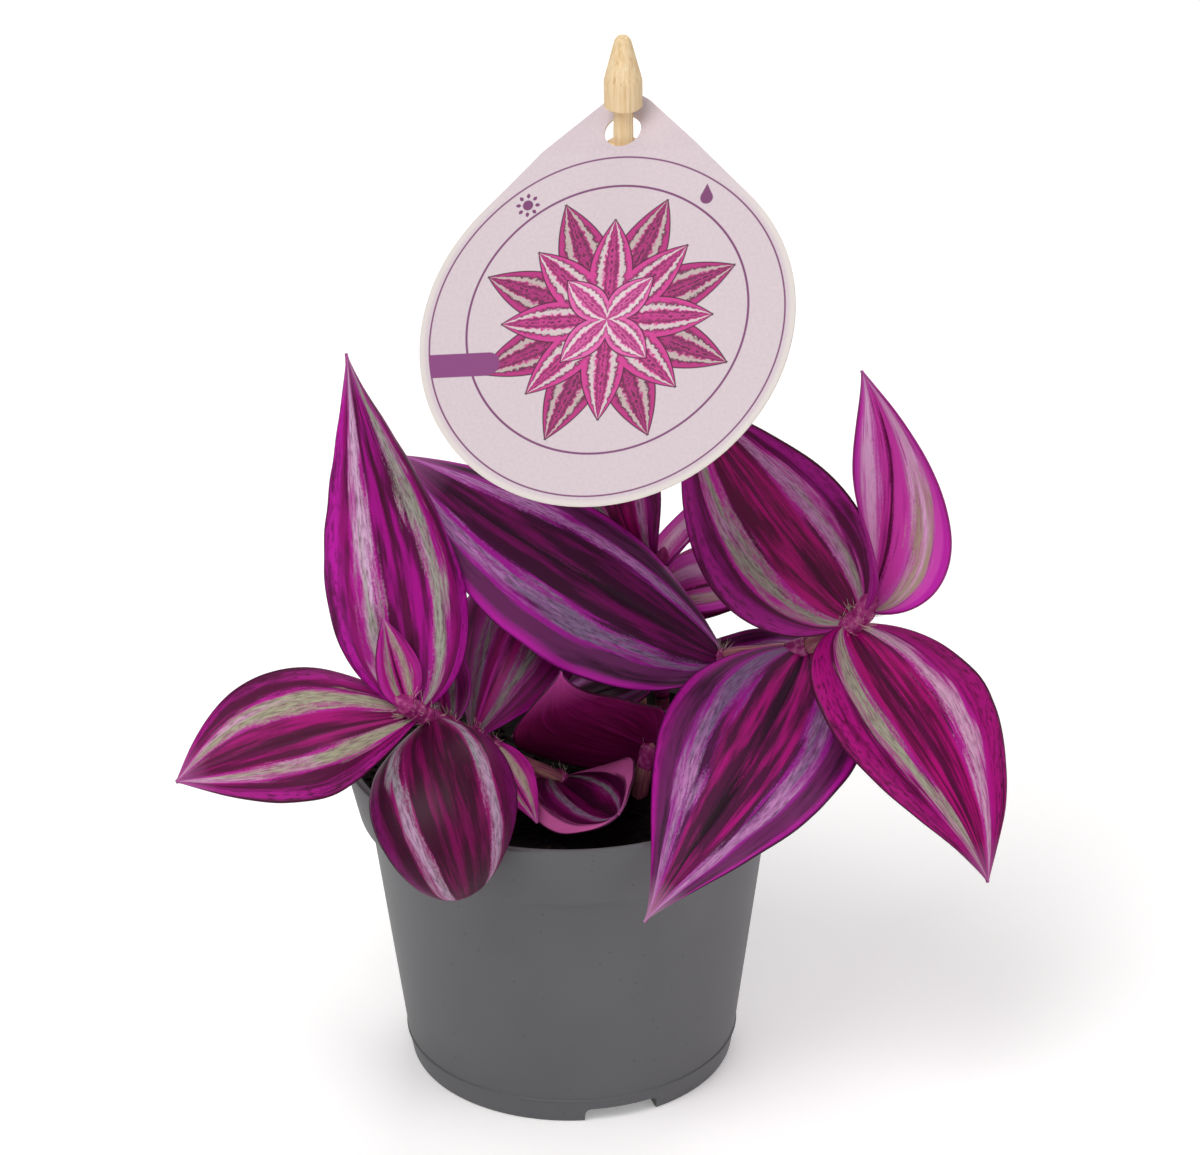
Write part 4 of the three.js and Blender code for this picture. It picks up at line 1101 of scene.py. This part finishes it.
def bladeUpperside(name):
    # leaf skin over clear cells: striped along the blade, with a silvery band each side of the midrib
    look = {**lookDefault, **looks[name]}
    finish, tree, bsdf = newFinish(f"striped leaf skin, {name}", Roughness=0.45, IOR=1.45,
                                   Specular_IOR_Level=0.16)
    vein = addNode(tree, "UVMap", uv_map="vein")
    axes = addNode(tree, "SeparateXYZ", [addNode(tree, "UVMap", uv_map="blade")])
    side = addNode(tree, "Math", [axes.outputs["Y"], 0.5], operation="SUBTRACT")
    half = addNode(tree, "Math", [side], operation="ABSOLUTE")
    across = addNode(tree, "Math", [half, 2.0], operation="MULTIPLY")      # 0 at the midrib, 1 at the margin

    # the stripes wander, with ragged edges along the veins, but the margin keeps its place
    drift = veinStreaks(tree, vein, 45 * mm, 12 * mm, 1, 3.1)
    streak = veinStreaks(tree, vein, 24 * mm, 2.2 * mm, 4, 7.4)
    grain = veinStreaks(tree, vein, 0.9 * mm, 0.5 * mm, 2, 1.9)
    wander = addNode(tree, "Math", [drift, 0.3, -0.15], operation="MULTIPLY_ADD")
    ragged = addNode(tree, "Math", [streak, 0.26, -0.13], operation="MULTIPLY_ADD")
    rough = addNode(tree, "Math", [grain, 0.06, -0.03], operation="MULTIPLY_ADD")
    shift = addNode(tree, "Math", [addNode(tree, "Math", [ragged, rough]), wander])
    hold = addNode(tree, "MapRange", [across, 0.65, 1.0, 1.0, 0.1])
    place = addNode(tree, "Math", [shift, hold, across], operation="MULTIPLY_ADD")

    centre, spread = look["band"]
    start, end, marginFrom = centre - spread, centre + spread, look["marginFrom"]
    stripes = setStops(addNode(tree, "ValToRGB", [place]), [
        (0.0, look["midrib"]), (0.025, look["midrib"]), (0.07, look["inner"]), (start - 0.08, look["inner"]),
        (start - 0.02, look["rim"]), (end + 0.02, look["rim"]), (end + 0.07, look["outer"]),
        (marginFrom - 0.04, look["outer"]), (marginFrom + 0.04, look["margin"]), (0.97, look["margin"]),
        (1.0, look["plum"])])

    # plum streaks, long ones and short ones, with grainy ends
    longStreaks = veinStreaks(tree, vein, 38 * mm, 3.6 * mm, 3, 12.3)
    shortStreaks = veinStreaks(tree, vein, 13 * mm, 1.5 * mm, 3, 17.9)
    both = addNode(tree, "Math", [shortStreaks, 0.42, longStreaks], operation="MULTIPLY_ADD")
    uneven = addNode(tree, "Math", [rough, 1.1, both], operation="MULTIPLY_ADD")
    level = setStops(addNode(tree, "ValToRGB", [place]), [
        (0.04, look["innerPlum"]), (start - 0.04, look["innerPlum"]), (start, 0.15), (end, 0.15),
        (end + 0.05, look["outerPlum"]), (marginFrom, look["outerPlum"]),
        (marginFrom + 0.08, look["mottle"] * 0.5)])
    wanted = addNode(tree, "Math", [level, 0.34, uneven], operation="MULTIPLY_ADD")
    plum = addNode(tree, "MapRange", [wanted, 0.80, 0.98, 0.0, 0.88])
    plumColour = linearColour(look["plum"])
    colour = addNode(tree, "Mix", {"Factor": plum, "A": stripes, "B": plumColour}, data_type="RGBA")

    # the silvery band breaks up into streaks at its edges, and is greyer or pinker by streaks
    off = addNode(tree, "Math", [addNode(tree, "Math", [place, centre], operation="SUBTRACT")],
                  operation="ABSOLUTE")
    depth = addNode(tree, "Math", [off, -1 / spread, 1.0], operation="MULTIPLY_ADD")
    broken = veinStreaks(tree, vein, 15 * mm, 1.8 * mm, 5, 25.1)
    loose = addNode(tree, "Math", [broken, 3.0, -1.5], operation="MULTIPLY_ADD")
    speckled = addNode(tree, "Math", [grain, 0.8, -0.4], operation="MULTIPLY_ADD")
    filled = addNode(tree, "Math", [depth, addNode(tree, "Math", [loose, speckled])])
    band = addNode(tree, "MapRange", [filled, -0.15, 0.7, 0.0, 0.95])
    tones = veinStreaks(tree, vein, 20 * mm, 2.4 * mm, 3, 21.7)
    leftTone, rightTone = [(tone - 0.5) * 0.6 for tone in look["tone"]]
    bias = addNode(tree, "MapRange", [side, -0.01, 0.01, rightTone, leftTone])
    towardsTip = addNode(tree, "MapRange", [axes.outputs["X"], 0.1, 0.95, -0.14, 0.24])
    toned = addNode(tree, "Math", [addNode(tree, "Math", [tones, bias]), towardsTip])
    pinker = addNode(tree, "MapRange", [toned, 0.40, 0.62, 0.0, 1.0])
    silver = addNode(tree, "Mix", {"Factor": pinker, "A": linearColour(look["silver"]),
                                   "B": linearColour(look["pink"])}, data_type="RGBA")
    cells = veinStreaks(tree, vein, 3.4 * mm, 0.7 * mm, 4, 31.9)
    dark = addNode(tree, "MapRange", [cells, 0.44, 0.70, 0.0, look["speckle"]])
    silver = addNode(tree, "Mix", {"Factor": dark, "A": silver, "B": plumColour}, data_type="RGBA")
    colour = addNode(tree, "Mix", {"Factor": band, "A": colour, "B": silver}, data_type="RGBA")

    # dark cells dot the margin, and the tip is paler
    dots = veinStreaks(tree, vein, 2.6 * mm, 0.9 * mm, 3, 41.3)
    dotted = addNode(tree, "MapRange", [dots, 0.50, 0.64, 0.0, look["mottle"]])
    outward = addNode(tree, "MapRange", [across, marginFrom - 0.08, marginFrom + 0.08, 0.0, 1.0])
    spots = addNode(tree, "Math", [dotted, outward], operation="MULTIPLY")
    colour = addNode(tree, "Mix", {"Factor": spots, "A": colour, "B": plumColour}, data_type="RGBA")
    tip = addNode(tree, "MapRange", [axes.outputs["X"], 0.86, 1.0, 0.0, 0.55])
    colour = addNode(tree, "Mix", {"Factor": tip, "A": colour, "B": linearColour(look["tip"])},
                     data_type="RGBA")
    tree.links.new(colour.outputs[2], bsdf.inputs["Base Color"])

    fine = addNode(tree, "Math", [cells, 0.4], operation="MULTIPLY")
    height = addNode(tree, "Math", [streak, 0.6, fine], operation="MULTIPLY_ADD")
    bump = addNode(tree, "Bump", {"Strength": 0.4, "Distance": 0.18 * mm, "Height": height})
    tree.links.new(bump.outputs[0], bsdf.inputs["Normal"])
    return finish


def leafBaseSkin():
    # clasping leaf base: the same clear skin over rose-pink cells, clouded paler and darker
    finish, tree, bsdf = newFinish("rose-pink leaf base", Roughness=0.45, IOR=1.45, Specular_IOR_Level=0.3)
    place = addNode(tree, "TexCoord").outputs["Object"]
    cloud = addNode(tree, "TexNoise", {"Vector": place, "Scale": 1 / (1.6 * mm), "Detail": 4})
    tint = setStops(addNode(tree, "ValToRGB", [cloud]),
                    [(0.3, "#7E105A"), (0.5, "#9A2C74"), (0.72, "#B46890")])
    tree.links.new(tint.outputs[0], bsdf.inputs["Base Color"])
    bump = addNode(tree, "Bump", {"Strength": 0.3, "Distance": 0.12 * mm, "Height": cloud})
    tree.links.new(bump.outputs[0], bsdf.inputs["Normal"])
    return finish


def paleHair():
    # plant hair: clear and colourless, it reads as pale cream
    return newFinish("pale plant hair", Roughness=0.4, Base_Color=linearColour("#D8CBB6"))[0]


def addSheath(bm, line, leaf, radius, topmost):
    # the sleeve that holds the blade to its stem: it comes out of the leaf below it and swells to its mouth
    inner, outer = radius + sheath["clearance"], radius + sheath["wall"]
    top, foot = leaf["fromTip"] - sheath["above"], leaf["fromTip"] + sheath["below"]
    shape = [(0.0, 0.0), (0.15, 0.2), (0.35, 0.45), (0.55, 0.72), (0.75, 0.95), (0.9, 1.0), (0.97, 0.85),
             (1.0, 0.45)]
    stations = [foot + (top - foot) * share for share, _ in shape]
    radii = [inner + (outer - inner) * bulge for _, bulge in shape]
    if topmost:       # it closes over the growing tip as a rolled bud
        stations = [foot] + stations + [0.2, -0.8, -1.8, -2.8, -3.4]
        bud = [outer * share for share in (0.97, 0.92, 0.84, 0.7, 0.5, 0.28)]
        radii = [0.01] + radii[:-2] + bud + [0.01]
    else:
        stations += [top + 0.2, leaf["fromTip"], foot, foot]
        radii += [inner, inner, inner, radii[0]]
    before = set(bm.verts)
    wrapTube(bm, line, stations, radii, sheath["sides"])
    bmesh.ops.remove_doubles(bm, verts=[vertex for vertex in bm.verts if vertex not in before], dist=1e-6)
    return [vertex for vertex in bm.verts if vertex not in before]


def addHairs(bm, line, leaf, radius, draw):
    # a fringe round the mouth of the sleeve
    made = []
    for _ in range(hairs["count"]):
        point, direction = stemAt(line, leaf["fromTip"] - sheath["above"] + draw.uniform(0, hairs["below"]))
        side = direction.orthogonal().normalized()
        out = turned(side, direction, draw.uniform(0, 360))
        aim = (out + direction * draw.uniform(*hairs["lean"])).normalized()
        length = draw.uniform(*hairs["length"])
        hair = bmesh.ops.create_cone(bm, cap_ends=True, segments=3, radius1=hairs["radius"] * mm,
                                     radius2=hairs["radius"] * 0.25 * mm, depth=length * mm)["verts"]
        place = (point + out * (radius + hairs["out"]) + aim * length / 2) * mm
        turn = aim.to_track_quat("Z", "Y").to_matrix().to_4x4()
        bmesh.ops.transform(bm, matrix=Matrix.Translation(place) @ turn, verts=hair)
        made += hair
    return made


def setMaterial(vertices, index):
    for face in {face for vertex in vertices for face in vertex.link_faces}:
        face.material_index = index


def makeLeaf(stem, name, sizes, skins, topmost):
    leaf = {**leafDefault, **sizes}
    line, radius = stemLines[stem], stems[stem]["radius"]
    start, _ = stemAt(line, leaf["fromTip"])
    rows = traceBlade(leaf, start)
    bm = bmesh.new()
    bm.loops.layers.uv.new("vein")
    bm.loops.layers.uv.new("blade")
    addBlade(bm, leaf, rows)
    bmesh.ops.recalc_face_normals(bm, faces=bm.faces)
    facing = sum((face.normal for face in bm.faces), Vector())
    if facing.dot(sum((up for _, up in rows), Vector())) < 0:
        bmesh.ops.reverse_faces(bm, faces=bm.faces)
    finishes = [skins[leaf["look"]], skins[leaf["under"]], skins["sleeve"], skins["hair"]]
    piece = makePiece(bm, f"leaf-{stem}-{name}", finishes, [f"leaf_{stem}_{name}"])
    wall = piece.modifiers.new("blade", "SOLIDIFY")
    wall.thickness = blade["thickness"] * mm
    wall.offset = 0
    wall.material_offset = 1
    wall.material_offset_rim = 0
    applyModifiers(piece)

    # the sleeve and its hairs join the finished blade
    extra = bmesh.new()
    extra.from_mesh(piece.data)
    sleeve = addSheath(extra, line, leaf, radius, topmost)
    setMaterial(sleeve, 2)
    bmesh.ops.recalc_face_normals(extra, faces=list({f for v in sleeve for f in v.link_faces}))
    draw = random.Random(hairs["seed"] + len(name) + round(leaf["fromTip"] * 10))
    setMaterial(addHairs(extra, line, leaf, radius, draw), 3)
    for face in extra.faces:
        face.smooth = True
    extra.to_mesh(piece.data)
    extra.free()


skins = {"stem": stemSkin(), "sleeve": leafBaseSkin(), "hair": paleHair()}
skins.update({name: bladeUpperside(name) for name in looks})
skins.update({name: bladeUnderside(name) for name in undersides})
for stemName, stemLeaves in leaves.items():
    makeStem(stemName, skins["stem"])
    for index, (leafName, leafSizes) in enumerate(stemLeaves.items()):
        makeLeaf(stemName, leafName, leafSizes, skins, index == 0)
    print(f"{stemName} shoot made")
